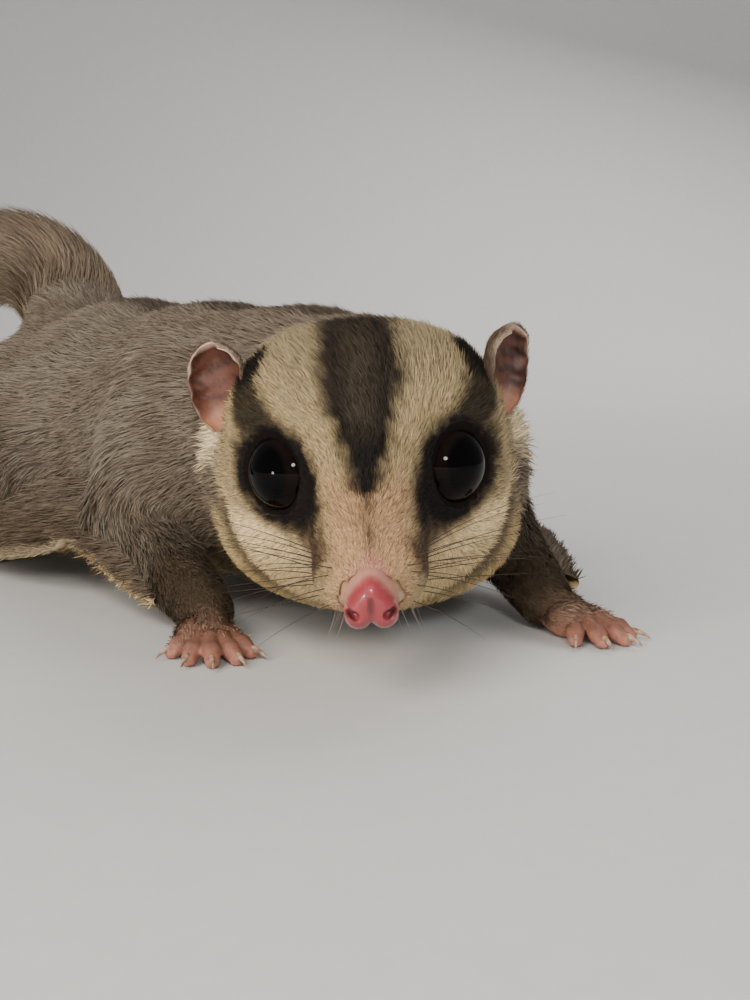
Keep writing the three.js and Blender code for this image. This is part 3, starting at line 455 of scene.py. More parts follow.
# Materials: each one is a Principled shader with its colour and bump from nodes
def material(name, roughness, build, **settings):
    m = bpy.data.materials.new(name)
    m.use_nodes = True
    nodes, links = m.node_tree.nodes, m.node_tree.links
    shader = nodes["Principled BSDF"]
    shader.inputs["Roughness"].default_value = roughness
    for key, value in settings.items():
        shader.inputs[key.replace("_", " ")].default_value = value
    build(nodes, links, shader)
    return m


def node(nodes, kind, **values):
    """A new node; each value goes to the input of that name, or else to the setting."""
    n = nodes.new(kind)
    for key, value in values.items():
        socket = key.replace("_", " ")
        if socket in n.inputs:
            n.inputs[socket].default_value = value
        else:
            setattr(n, key, value)
    return n


def coat_look(scale, amount, bump_scale=None, bump=0.0, distance=0.0):
    """The coat's own colour, lightened and darkened by noise, with a bump of a second noise."""

    def build(nodes, links, shader):
        colour = node(nodes, "ShaderNodeAttribute", attribute_name="Coat")
        place = nodes.new("ShaderNodeTexCoord")
        noise = node(nodes, "ShaderNodeTexNoise", Scale=scale, Detail=4.0, Roughness=0.6)
        ramp = node(nodes, "ShaderNodeMapRange", From_Min=0.3, From_Max=0.7,
                    To_Min=1 - amount, To_Max=1 + amount)
        tint = node(nodes, "ShaderNodeVectorMath", operation="SCALE")
        links.new(place.outputs["Object"], noise.inputs["Vector"])
        links.new(noise.outputs["Fac"], ramp.inputs["Value"])
        links.new(colour.outputs["Color"], tint.inputs[0])
        links.new(ramp.outputs["Result"], tint.inputs["Scale"])
        links.new(tint.outputs["Vector"], shader.inputs["Base Color"])
        if bump_scale:
            grain = node(nodes, "ShaderNodeTexNoise", Scale=bump_scale, Detail=5.0, Roughness=0.65)
            relief = node(nodes, "ShaderNodeBump", Strength=bump, Distance=distance)
            links.new(place.outputs["Object"], grain.inputs["Vector"])
            links.new(grain.outputs["Fac"], relief.inputs["Height"])
            links.new(relief.outputs["Normal"], shader.inputs["Normal"])

    return build


fur = material("fur", 0.62, coat_look(900.0, 0.12), Specular_IOR_Level=0.25)
fur_skin = material("fur_skin", 0.8, coat_look(1400.0, 0.22, 2600.0, 0.5, 0.0003), Specular_IOR_Level=0.1)
bare_look = coat_look(1500.0, 0.1, 3200.0, 0.35, 0.00012)
bare = material("bare_skin", 0.48, bare_look, Subsurface_Weight=0.12, Subsurface_Scale=0.0008)
wet = material("wet_nose", 0.34, bare_look, Coat_Weight=0.6, Coat_Roughness=0.1, Subsurface_Weight=0.15,
               Subsurface_Scale=0.001)
eye_shine = material("eye_shine", 0.05, coat_look(700.0, 0.3), IOR=1.2)
lid_skin = material("lid_skin", 0.6, bare_look, Specular_IOR_Level=0.15)
horn = material("horn", 0.35, bare_look)

# Coat: how deep it is, how long its hairs are and which way they lie, from place alone
NOSE_ROOT = np.array([0, -17.2, -5.4])
NOSE_FACING = unit([0, 1, 0.1])


def from_nose(q):
    return np.linalg.norm(q - NOSE_TIP, axis=1)


def wrist_distance(p):
    """Distance to the nearest wrist or ankle."""
    ends = [np.asarray(joints[2], float) for joints, *_ in LEGS.values()]
    return np.min([np.linalg.norm(p - end, axis=1) for end in ends], axis=0)


def wrist_nearness(p):
    return 1 - smooth_step(wrist_distance(p), 3, 18)


def eye_distance(q):
    return np.minimum(*[np.linalg.norm(q - eye_centre(s), axis=1) for s in (1, -1)])


def coat_depth(p):
    q = to_head(p)
    deep = np.interp(from_nose(q), [0, 4, 9, 24, 36, 46], [0.1, 0.15, 0.25, 0.5, 1.1, 1.5])
    deep = deep * (1 - 0.7 * wrist_nearness(p))
    near_eye = 1 - smooth_step(eye_distance(q), 6, 11)
    return mix(deep, 0.25, near_eye)


def hair_length(p):
    q = to_head(p)
    r = from_nose(q)
    long = np.interp(r, [0, 4, 9, 16, 26, 34, 42, 60], [0.3, 0.5, 0.8, 1.15, 1.6, 2.6, 3.4, 3.9])
    ruff = np.exp(-(((q[:, 1] - 15) / 7) ** 2)) * (np.abs(q[:, 0]) > 12) * (q[:, 2] < 2)
    long = long + 0.9 * ruff
    long = long * (1 - 0.68 * wrist_nearness(p))
    near_eye = 1 - smooth_step(eye_distance(q), 6, 9.5)
    return mix(long, 0.6, near_eye)


# The hollow between the left foreleg and the neck is filled as a shoulder under the coat.
LEFT_SHOULDER = ellipsoid([13.5, 30.5, 17.5], [8.5, 9, 10])


def skin_field(p):
    filled = smooth_min(flesh_field(p), LEFT_SHOULDER(p), 6)
    return smooth_max(filled + coat_depth(p), FLOOR + 0.3 - p[:, 2], 0.6)


# Fur lies away from the nose over the head, back along the body and down each limb, away from the eyes.
def lie(p, n):
    q = to_head(p)
    radial = unit(q - NOSE_TIP) + np.array([0, 0.25, 0])
    for s in (1, -1):
        away = q - eye_centre(s)
        reach = np.linalg.norm(away, axis=1)
        radial = radial + unit(away) * (1.8 * np.exp(-np.maximum(reach - 5, 0) / 1.6))[:, None]
    head = head_direction(radial)
    side = np.clip((p - SHOULDER) @ OUT / 18, -1, 1)
    trunk = ALONG + np.array([0, 0, -0.28]) * np.abs(side)[:, None]
    parts = [(head_field(p), head), (smooth_min(neck_field(p), torso_field(p), 8), trunk)]
    for name, (thigh, shank, _, _) in LEG_PARTS.items():
        joints = [np.asarray(j, float) for j in LEGS[name][0]]
        parts.append((thigh(p) + 1.5, unit(joints[1] - joints[0]) + 0.4 * ALONG))
        parts.append((shank(p), unit(joints[2] - joints[1])))
    nearest = np.min([d for d, _ in parts], axis=0)
    flow = np.zeros(p.shape)
    for d, way in parts:
        flow += unit(way) * np.exp(-(d - nearest) / 2.2)[:, None]
    stray = np.stack([waves(p, 9, 60 + k) for k in range(3)], 1)
    flow = unit(flow) + 0.22 * stray
    return along_skin(flow, n)


# Markings and painted shade: the same colours for skin and hair, by place in the head's and the body's frames
BLACK = srgb(24, 20, 18)
STRIPE_DARK = srgb(44, 37, 31)
STRIPE_GREY = srgb(72, 64, 51)
TAN = srgb(166, 146, 110)
CROWN_TAN = srgb(142, 127, 100)
BRIDGE = srgb(182, 147, 110)
CREAM = srgb(232, 206, 160)
YELLOW_CREAM = srgb(186, 162, 116)
GREY = srgb(122, 112, 100)
GREY_BROWN = srgb(108, 96, 83)
RUFF_GREY = srgb(104, 93, 79)
CHEEK_SHADE = srgb(84, 70, 55)
RIDGE = srgb(66, 57, 49)
# Dark brown of the wrists and ankles, which also serves as painted shade low on the limbs
DARK_BROWN_AND_SHADE = srgb(80, 67, 53)
MUZZLE_BROWN = srgb(78, 59, 45)
PALE_PINK = srgb(196, 142, 124)
EYE_RING = srgb(22, 17, 15)
EAR_CREAM = srgb(240, 219, 180)


def leg_distance(leg, p):
    thigh, shank, *_ = LEG_PARTS[leg]
    return np.minimum(thigh(p) + 1.5, shank(p))


def body_colour(p, n):
    """Grey above, dark along the spine, cream below, and dark brown towards the feet, partly painted shade.
    """
    under = smooth_step(-n[:, 2], 0.45, 0.9) * (1 - smooth_step(p[:, 2], 12, 24))
    body = mix(GREY[None], GREY_BROWN, smooth_step(waves(p, 26, 5), -0.6, 0.8))
    body = mix(body, YELLOW_CREAM, 0.5 * under)
    out = np.abs((p - SHOULDER) @ OUT) + 0.8 * waves(p, 5, 3)
    along = (p - SHOULDER) @ ALONG
    spine = (1 - smooth_step(out, 2.4, 5.6)) * smooth_step(p[:, 2], 26, 31) * (1 - smooth_step(along, 60, 76))
    body = mix(body, RIDGE, 0.85 * spine)
    # Near the wrists and ankles the coat turns dark brown: partly the limbs' own colour, partly painted
    # shade.
    return mix(body, DARK_BROWN_AND_SHADE, 0.9 * (1 - smooth_step(wrist_distance(p), 4, 22)))


def face_colour(q, wobble):
    """Colours of the head, in its own frame, alike on both sides."""
    x = np.abs(q[:, 0])
    y, z = q[:, 1], q[:, 2]
    mirror = np.stack([x, y, z], 1)

    # Tan face, warmer on the bridge, cream cheeks and chin
    face = mix(TAN[None], CROWN_TAN, smooth_step(z, 7, 14))
    bridge = (1 - smooth_step(x, 2.5, 6)) * (1 - smooth_step(z, 1.5, 6)) * (1 - smooth_step(y, -9, -2))
    face = mix(face, BRIDGE, bridge)
    cheek = smooth_step(x + 0.25 * (y + 8), 6, 9.5) * (1 - smooth_step(z + 0.3 * wobble, -6.2, -3.6))
    face = mix(face, CREAM, cheek)
    chin = 1 - smooth_step(z + 0.6 * wobble, -11.5, -8.5)
    face = mix(face, mix(CREAM, YELLOW_CREAM, 0.4)[None], chin)

    # Behind the cheek come the flecked ruff and the throat. The grey-brown line round the cheek, sharp inside
    # and fading outwards, is painted shade where the cheek stands over the ruff.
    radius = np.hypot(x, z + 2) - np.interp(z, [-16, -6, -3, 3], [16.6, 17.0, 18.3, 18.2]) + 0.25 * wobble
    lower = 1 - smooth_step(z, 1, 6)
    back = np.maximum(smooth_step(radius, -0.2, 1.0), smooth_step(y, 10.5, 12.5)) * lower
    ruff = mix(YELLOW_CREAM[None], RUFF_GREY, smooth_step(z + 1.5 * wobble, -12, -5))
    ruff = mix(ruff, GREY_BROWN, 0.9 * smooth_step(y + 0.8 * wobble, 7, 15))
    fleck = waves(q, 2.2, 21)
    ruff = mix(ruff, CREAM, 0.3 * smooth_step(fleck, 0.3, 1.0))
    behind_ear = np.sqrt(((x - 20) / 4.4) ** 2 + ((y - 15) / 5) ** 2 + ((z - 1) / 5.5) ** 2)
    ruff = mix(ruff, EAR_CREAM, 1 - smooth_step(behind_ear + 0.2 * wobble, 0.5, 1.2))
    colour = mix(face, ruff, back)
    # Painted shade round the cheek's edge, over the ruff.
    line = smooth_step(radius, -0.7, 0.1) * (1 - smooth_step(radius, 0.3, 2.6)) * (1 - smooth_step(y, 7, 11))
    line = line * (1 - smooth_step(z, 2, 5)) * smooth_step(z, -20, -13)
    colour = mix(colour, CHEEK_SHADE, 0.85 * line)

    # Dark rings round the eyes, run down to the muzzle and up to the ears
    half_height = np.where(z > 0.3, 6.4, 5.4)
    ring = np.sqrt(((x - 10.1) / 5.2) ** 2 + ((z - 0.3) / half_height) ** 2) + 0.07 * wobble
    dark = (1 - smooth_step(ring, 0.84, 1.22)) * (1 - smooth_step(y, 6, 9))
    streak = segment_distance(mirror, [8.3, -4, -4.2], [5.6, -12.6, -4.4]) + 0.7 * wobble
    colour = mix(colour, MUZZLE_BROWN, 0.9 * (1 - smooth_step(streak, 0.4, 4.2)))
    band = segment_distance(mirror, [12.4, 2.2, 5.8], [14.2, 9.6, 8.6]) + 0.4 * wobble
    dark = np.maximum(dark, 0.92 * (1 - smooth_step(band, 1.7, 3.8)))
    colour = mix(colour, EYE_RING, dark)
    patch = np.sqrt(((x - 13.6) / 3.3) ** 2 + ((y - 10.8) / 5) ** 2 + ((z - 10.4) / 4.2) ** 2)
    colour = mix(colour, BLACK, 1 - smooth_step(patch + 0.12 * wobble, 0.75, 1.15))

    # Stripe from between the eyes over the crown
    half = np.interp(z, [2.3, 2.8, 3.4, 5.4, 8.0, 10.5, 13.3, 15], [0, 1.3, 1.7, 2.3, 3.7, 4.6, 4.4, 3.6])
    half = np.where(y > 9, np.maximum(half, 3.2), half) * (z > -2)
    stripe = 1 - smooth_step(x - half + 0.5 * wobble, -1.2, 1.4)
    middle = (1 - smooth_step(x, 0.6, 3.0)) * smooth_step(z, 5.4, 8.5) * (1 - smooth_step(y, 6, 14))
    dark_stripe = mix(mix(BLACK[None], STRIPE_DARK, smooth_step(z, 5, 11)), STRIPE_GREY, 0.5 * middle)
    colour = mix(colour, dark_stripe, stripe)

    # Bare pale pink skin round the nose and a little way up the bridge
    pink = from_nose(q) + 0.3 * wobble + 0.75 * x - 0.3 * np.maximum(z + 4.5, 0)
    pad = np.sqrt(((x - 5.8) / 2.4) ** 2 + ((y + 12.5) / 4) ** 2 + ((z + 4.6) / 2.4) ** 2) + 0.2 * wobble
    colour = mix(colour, MUZZLE_BROWN, 0.45 * (1 - smooth_step(pad, 0.5, 1.3)))
    return mix(colour, PALE_PINK, 0.85 * (1 - smooth_step(pink, 4.0, 6.2)))


def markings(p, n):
    q = to_head(p)
    nearest_leg = np.min([leg_distance(leg, p) for leg in LEGS], axis=0)
    off_leg = smooth_step(nearest_leg - np.minimum(head_field(p), neck_field(p)), -0.5, 1.5)
    on_head = (1 - smooth_step(q[:, 1] - 0.12 * np.minimum(q[:, 2] + 6, 0), 15.5, 19.5)) * off_leg
    on_head = np.maximum(on_head, (1 - smooth_step(q[:, 1], 12, 15)) * (q[:, 2] > 0))
    return mix(body_colour(p, n), face_colour(q, waves(p, 5, 3)), on_head)


# Everything random about the coat comes from this one row of draws, in the order of the pieces.
rng = np.random.default_rng(11)
THIN = 1.0


def draw_triangles(points, faces, density):
    """Corners of the faces' triangles, each drawn as often as its area and the density ask."""
    tri = np.concatenate([faces[:, [0, 1, 2]], faces[:, [0, 2, 3]]])
    a, b, c = (points[tri[:, k]] for k in range(3))
    area = 0.5 * np.linalg.norm(np.cross(b - a, c - a), axis=1)
    count = rng.poisson(area * density((a + b + c) / 3))
    return tri[np.repeat(np.arange(len(tri)), count)]


def weighted(values, corner, weights):
    return sum(values[corner[:, k]] * weights[k][:, None] for k in range(3))


def scatter(points, faces, normals, density):
    """Roots of hairs, thrown over the faces, with the way that the skin faces there."""
    corner = draw_triangles(points, faces, density)
    u, v = rng.random((2, len(corner)))
    fold = u + v > 1
    u, v = np.where(fold, 1 - u, u), np.where(fold, 1 - v, v)
    weights = (1 - u - v, u, v)
    return weighted(points, corner, weights), unit(weighted(normals, corner, weights))


# Flat hairs from rows of points: each row but the last gives a pair across the hair, the last one its tip
PATCH = 0.003


def make_hairs(name, slot, rows, stops, across, widths, gap, colours, shade_along, patch):
    pairs = [row + s * across * width for row, width in zip(rows, widths) for s in (-1, 1)]
    verts = np.stack(pairs + [rows[-1]], 1)
    verts[:, :, 2] = np.maximum(verts[:, :, 2], FLOOR + gap)
    along = np.append(np.repeat(stops[:-1], 2), 1.0)
    per = len(along)
    pattern = [t for a in range(0, per - 3, 2) for t in ([a, a + 1, a + 3], [a, a + 3, a + 2])]
    pattern.append([per - 3, per - 2, per - 1])
    tris = np.arange(len(verts))[:, None, None] * per + np.array(pattern)
    # Each hair's colour is scaled from root to tip; the darker root is painted shade.
    tone = np.clip(colours[:, None] * shade_along(along)[None, :, None], 0.002, 1).reshape(-1, 3)
    offset = np.stack([np.append(np.tile([-0.5, 0.5], len(widths)), 0), along - 0.5], 1) * PATCH
    uv = (patch[:, None] + offset).reshape(-1, 2)
    make_piece(name, verts.reshape(-1, 3), tris.reshape(-1, 3), fur, slot, colours=tone, uv=uv)


def make_fur(name, slot, roots, normals, way, length, width, lift, curl, colours, patch, clump=0.0,
             clump_size=2.0, root_shade=(0.62, 1.0, 1.12), spread=0.17):
    """Hairs that leave the skin at a low angle and bend back to it, some drawn together at their tips."""
    n = len(roots)
    side = unit(np.cross(way, normals))
    lean = np.radians(lift + rng.normal(0, 6, n))[:, None]
    way = unit(way + side * rng.normal(0, 0.16, n)[:, None])
    length = (length * rng.uniform(0.75, 1.2, n))[:, None]
    twist = rng.normal(0, 0.5, n)[:, None]
    across = unit(side * np.cos(twist) + normals * np.sin(twist))
    stops = [0.0, 0.5, 1.0]
    rows = []
    for s in stops:
        rise = np.sin(lean) * s - curl * s * s
        rows.append(roots + length * (way * np.cos(lean) * s + normals * rise))
    if clump:
        wander = np.stack([waves(roots, clump_size * 3, 80 + k) for k in range(3)], 1)
        key = roots + 0.35 * clump_size * wander
        cell = np.floor(key / clump_size).astype(np.int64)
        _, index = np.unique(cell @ np.array([1, 4099, 16785407]), return_inverse=True)
        index = index.ravel()
        total = np.bincount(index)
        centre = np.stack([np.bincount(index, rows[-1][:, k]) / total for k in range(3)], 1)[index]
        drift = (centre - rows[-1]) * (clump * rng.uniform(0.5, 1, n)[:, None])
        rows = [row + drift * s**2 for row, s in zip(rows, stops)]
    half = np.broadcast_to(width, n)[:, None] / 2
    glow = rng.normal(1, spread, n) * np.where(rng.random(n) < 0.12, 0.5, 1.0)
    # The hairs darken towards their roots: painted shade among the hairs.
    make_hairs(name, slot, rows, stops, across * half, (1.0, 0.95), 0.12, colours * glow[:, None],
               lambda along: np.interp(along, [0, 0.55, 1], root_shade), patch)


# Unwraps of the skin's own shape: round and along the head, the trunk or a limb
def unwrap_head(p):
    q = to_head(p) - np.array([0, 8, -1])
    d = unit(q)
    turn = np.arctan2(q[:, 0], q[:, 2]) / (2 * math.pi) + 0.5
    return np.stack([turn, np.arccos(np.clip(-d[:, 1], -1, 1)) / math.pi], 1)


def unwrap_axis(p, start, end):
    start, end = np.asarray(start, float), np.asarray(end, float)
    axis = unit(end - start)
    side, over = across_of(axis)
    q = p - start
    angle = np.arctan2(q @ side, q @ over) / (2 * math.pi) + 0.5
    return np.stack([angle, q @ axis / np.linalg.norm(end - start)], 1)


def fitted(uv):
    low, high = uv.min(0), uv.max(0)
    return 0.01 + 0.98 * (uv - low) / np.maximum(high - low, 1e-6)


# Skin under the whole coat
CELL = 0.8
SKIN_LOW = [-112, -24, -1]
SKIN_HIGH = [34, 146, 58]
points, faces, normals = surface_net(skin_field, SKIN_LOW, SKIN_HIGH, CELL)
on_nose = (to_head(points) - NOSE_ROOT) @ NOSE_FACING < -0.1
on_nose &= from_nose(to_head(points)) < 9
skin_faces = faces[~on_nose[faces].all(1)]
tail_cut = TAIL_PATH[0] * 0.2 + TAIL_PATH[1] * 0.8
tail_way = unit(TAIL_PATH[1] - TAIL_PATH[0])
flesh_nodes = ["head", "neck", "torso", "foreleg_left", "foreleg_right", "hindleg_left", "hindleg_right"]
# The skin takes the coat's markings darkened to 0.7: painted shade under the hairs.
make_piece("skin", points, skin_faces, fur_skin, "back_fur", flesh_nodes, markings(points, normals) * 0.7)


# Roots of the body's coat, sorted into pieces by the nearest form
def hair_width(p):
    return 0.048 + 0.024 * hair_length(p)


def hair_density(p):
    length = hair_length(p)
    cover = np.interp(length, [0.5, 1.5, 3], [4.9, 6.2, 5.8])
    q = to_head(p)
    nose = from_nose(q) + 0.5 * np.abs(q[:, 0]) - 0.3 * np.maximum(q[:, 2] + 4.5, 0)
    return THIN * cover * smooth_step(nose, 2.2, 4.4) / (length * hair_width(p))


roots, facing = scatter(points, skin_faces, normals, hair_density)
head_spot = to_head(roots)
clear = np.ones(len(roots), bool)
for s in (1, -1):
    off = head_spot - eye_centre(s)
    height = off @ eye_axis(s)
    radius = np.linalg.norm(off - height[:, None] * eye_axis(s), axis=1)
    clear &= ~((radius < 5.0) & (height > 0))
clear &= roots[:, 2] > FLOOR + 0.5
clear &= (roots - tail_cut) @ tail_way < 0
roots, facing, head_spot = roots[clear], facing[clear], head_spot[clear]
forms = [head_field(roots) - 0.5, neck_field(roots), torso_field(roots)]
nearest = np.argmin(forms + [leg_distance(leg, roots) for leg in LEGS], axis=0)
across = (roots - SHOULDER) @ OUT
in_front = head_spot[:, 1] < 6
on_left = head_spot[:, 0] >= 0
TRUNK = (body_point(0, 0, 22), body_point(76, 0, 24))
COATS = {
    "fur_face_left": ((nearest == 0) & in_front & on_left, "face_fur", None),
    "fur_face_right": ((nearest == 0) & in_front & ~on_left, "face_fur", None),
    "fur_crown": ((nearest == 0) & ~in_front, "face_fur", None),
    "fur_ruff_left": ((nearest == 1) & on_left, "ruff_fur", None),
    "fur_ruff_right": ((nearest == 1) & ~on_left, "ruff_fur", None),
    "fur_back_right": ((nearest == 2) & (across >= 0), "back_fur", TRUNK),
    "fur_back_left": ((nearest == 2) & (across < 0), "back_fur", TRUNK),
}
for index, (leg, (joints, *_)) in enumerate(LEGS.items()):
    COATS["fur_" + leg] = (nearest == len(forms) + index, "leg_fur", (joints[1], joints[2]))

# Lift, curl, clumping, painted shade from root to tip and unevenness of short and of long hair
SHORT_HAIR = (24, 0.14, {"clump": 0.3, "clump_size": 0.8, "root_shade": (0.6, 1.0, 1.15), "spread": 0.19})
LONG_HAIR = (26, 0.2, {"clump": 0.35, "clump_size": 1.8, "root_shade": (0.78, 1.0, 1.06), "spread": 0.11})
for name, (chosen, slot, axis) in COATS.items():
    p, n = roots[chosen], facing[chosen]
    length = hair_length(p)
    lift, curl, habit = SHORT_HAIR if np.median(length) < 2.4 else LONG_HAIR
    patch = fitted(unwrap_axis(p, *axis) if axis else unwrap_head(p))
    make_fur(name, slot, p, n, lie(p, n), length, hair_width(p), lift, curl, markings(p, n), patch, **habit)


# Eyes: a ball with a bulging clear front, dark iris and pupil, in a ring of dark lids
def lathe(profile, centre, axis, turns, swell=1.0):
    """Turns (radius, height) points round an axis of the head's frame; swell scales the radius."""
    side, over = across_of(axis)
    angle = np.linspace(0, 2 * math.pi, turns, endpoint=False)[:, None]
    ring = (side * np.cos(angle) + over * np.sin(angle)) * np.broadcast_to(swell, turns)[:, None]
    profile = np.asarray(profile, float)
    points = centre + profile[:, None, :1] * ring[None] + profile[:, None, 1:] * axis
    return points.reshape(-1, 3), grid_faces(len(profile), turns)


def lid_outline(angle, s, axis):
    """The lids' edge is drawn out towards the corner by the nose."""
    low = -0.6 if across_of(axis)[0][0] * s < 0 else math.pi + 0.6
    gap = np.abs((angle - low + math.pi) % (2 * math.pi) - math.pi)
    return 1 + 0.07 * np.exp(-((gap / 0.35) ** 2)) + 0.012 * np.sin(angle * 9)


LID_TURNS = 96
LID_RIM = [(4.7, 1.6), (4.7, 2.1), (4.74, 2.28), (4.82, 2.38), (4.94, 2.36), (5.06, 2.2), (5.16, 1.9),
           (5.24, 1.5), (5.3, 1.0)]
for side, s in (("left", 1), ("right", -1)):
    axis = eye_axis(s)
    polar = np.linspace(0.0005, math.pi - 0.0005, 48)
    bulge = EYE_RADIUS * (1.045 + 0.03 * np.exp(-((polar / 0.6) ** 2)))
    profile = np.stack([bulge * np.sin(polar), bulge * np.cos(polar)], 1)
    ball, ball_faces = lathe(profile, eye_centre(s), axis, 64)
    off = unit(ball - eye_centre(s)) @ axis
    angle = np.degrees(np.arccos(np.clip(off, -1, 1)))
    iris = smooth_step(angle, 38, 46) * (1 - smooth_step(angle, 54, 60))
    tint = mix(srgb(3, 3, 4)[None], srgb(16, 10, 8), iris)
    ball_faces = ball_faces[:, ::-1]
    make_piece("eyeball_" + side, head_point(ball), ball_faces, eye_shine, "eye", ["eye_" + side], tint)

    outline = lid_outline(np.linspace(0, 2 * math.pi, LID_TURNS, endpoint=False), s, axis)
    lid, lid_faces = lathe(LID_RIM, eye_centre(s), axis, LID_TURNS, outline)
    lid_tone = mix(srgb(5, 4, 4)[None], srgb(14, 11, 10), smooth_step(waves(lid, 1.6, 9), -0.5, 1) * 0.6)
    # A lighter line on the lids' inner edge is a painted glint.
    edge = np.repeat([r for r, _ in LID_RIM], LID_TURNS)
    lid_tone = mix(lid_tone, srgb(52, 42, 38), 0.5 * (1 - smooth_step(np.abs(edge - 4.76), 0.04, 0.1)))
    make_piece("lids_" + side, head_point(lid), lid_faces[:, ::-1], lid_skin, "nose", colours=lid_tone)

    # Short dark hairs stand round the lids and blend them into the coat.
    count = int(2600 * THIN)
    turn = rng.uniform(0, 2 * math.pi, count)
    reach = rng.uniform(4.92, 5.22, count)
    rise = np.interp(reach, *np.array(LID_RIM[4:8]).T)
    level, upright = across_of(axis)
    spoke = level * np.cos(turn)[:, None] + upright * np.sin(turn)[:, None]
    root = head_point(eye_centre(s) + spoke * reach[:, None] + axis * (rise - 0.05)[:, None])
    out = head_direction(unit(spoke * 0.8 + axis * 0.6))
    way = head_direction(unit(spoke - axis * 0.5))
    make_fur("fur_lids_" + side, "face_fur", root, out, way, 0.75, 0.07, 16, 0.1,
             np.broadcast_to(EYE_RING * 0.5, root.shape), fitted(np.stack([turn, reach * 3], 1)))

# Nose: pad with nostrils in two low lobes and a groove between them
NOSTRIL = [[1.6, -22.4, -7.1], [1.7, -20.9, -6.8], [2.5, -19.9, -6.3]]
NOSE_GROOVE = [[0, -21.1, -5.0], [0, -21.35, -7.2], [0, -20.3, -9.2]]
NOSE_LOBE = [1.35, -19.8, -7.3]


def nose_field(p):
    q = to_head(p)
    pinched = q.copy()
    pinched[:, 0] *= 1 + (1 - smooth_step(q[:, 1], -19.5, -15)) * (0.1 + 0.2 * smooth_step(q[:, 2], -8, -4))
    lobes = mirrored(lambda s: ellipsoid([NOSE_LOBE[0] * s, NOSE_LOBE[1], NOSE_LOBE[2]], [1.5, 1.5, 1.45]))
    d = smooth_min(flesh_field(head_point(pinched)) + 0.12, np.min([lobe(q) for lobe in lobes], axis=0), 0.7)
    sunk = [(NOSE_GROOVE, (0.1, 0.24, 0.3))]
    sunk += [([[x * s, y, z] for x, y, z in NOSTRIL], (0.42, 0.36, 0.28)) for s in (1, -1)]
    holes = [round_cone(line[k], line[k + 1], radii[k], radii[k + 1]) for line, radii in sunk for k in (0, 1)]
    for hole in holes:
        d = smooth_max(d, -hole(q), 0.35)
    return d


nose_low = head_point([-5.5, -23, -10.5]) - 1.5
nose, nose_faces, nose_normals = surface_net(nose_field, nose_low, nose_low + np.array([14, 9, 13]), 0.22)
q = to_head(nose)
nose_faces = nose_faces[((q - NOSE_ROOT) @ NOSE_FACING < 0.5)[nose_faces].all(1)]
pad_half = np.interp(q[:, 2], [-9, -7, -5, -3], [3.3, 3.6, 2.9, 1.5])
pad_edge = np.sqrt((q[:, 0] / pad_half) ** 2 + ((q[:, 2] + 6.1) / 3.9) ** 2)
pad = 1 - smooth_step(pad_edge + 0.04 * waves(nose, 1.5, 4), 0.7, 1.02)
pad = pad * (1 - smooth_step(q[:, 1], -19.8, -18.6))
at_edge = smooth_step((q - NOSE_ROOT) @ NOSE_FACING, -1.8, 0.2)
# Towards the fur the nose takes the coat's markings darkened to 0.75: painted shade, like the skin under the
# hairs.
nose_tone = mix(srgb(190, 134, 118)[None], markings(nose, nose_normals) * 0.75, at_edge)
nose_tone = mix(nose_tone, srgb(146, 54, 60), pad)
nose_tone = mix(nose_tone, srgb(124, 46, 52), 0.6 * pad * (1 - smooth_step(q[:, 2], -8.4, -5.8)))
# The nostrils are darkened inside: painted shade in the openings.
depth = np.full(len(q), 9.0)
for s in (1, -1):
    depth = np.minimum(depth, segment_distance(q, [1.6 * s, -22.2, -7.1], [2.2 * s, -20.2, -6.6]))
nose_tone = mix(nose_tone, srgb(84, 26, 30), 1 - smooth_step(depth, 0.35, 0.75))
# The groove down the pad is darkened: painted shade in the crease.
groove = segment_distance(q, NOSE_GROOVE[0], NOSE_GROOVE[1])
groove = np.minimum(groove, segment_distance(q, NOSE_GROOVE[1], NOSE_GROOVE[2]))
nose_tone = mix(nose_tone, srgb(96, 32, 38), 0.9 * (1 - smooth_step(groove, 0.2, 0.5)))
make_piece("nose_pad", nose, nose_faces, wet, "nose", ["nose"], nose_tone)


# Ears: thin cupped leaves with a rolled rim and folds inside
EARS = {
    "left": ([15.8, 12.6, 4.6], [0.30, 0.20, 0.88], [0.80, -0.58, 0.1]),
    "right": ([16.5, 12.8, 3.8], [0.25, 0.24, 0.88], [0.40, -0.86, 0.1]),
}
EAR_HEIGHT = 11.4
EAR_WIDTH = 3.9
EAR_END = 0.955


def ear_leaf(side, u, v, inset):
    s = 1 if side == "left" else -1
    flip = np.array([s, 1, 1])
    base, up, face = (np.array(d) * flip for d in EARS[side])
    up = unit(up)
    across = unit(np.cross(up, unit(face)))
    face = np.cross(across, up)
    width = np.interp(u, [0, 0.15, 0.3, 0.45, 0.6], [0.62, 0.84, 0.98, 1.04, 1.04]) * EAR_WIDTH
    width = width * np.sqrt(1 - 0.985 * np.clip((u - 0.6) / 0.4, 0, 1) ** 2.2)
    wrap = np.radians(112 - 30 * u)
    radius = np.maximum(width - inset, 0.1)
    angle = v * wrap
    lean = 1.6 * u * u - 9.6 * np.maximum(u - 0.72, 0) ** 1.4
    hollow = -radius * np.cos(angle) * 0.72 + 1.2 - lean * 0.6
    height = EAR_HEIGHT * (u - 0.16) * (1 - 0.1 * v * v) - inset * 0.9 * u
    return base + up * height[:, None] + across * (radius * np.sin(angle))[:, None] + face * hollow[:, None]


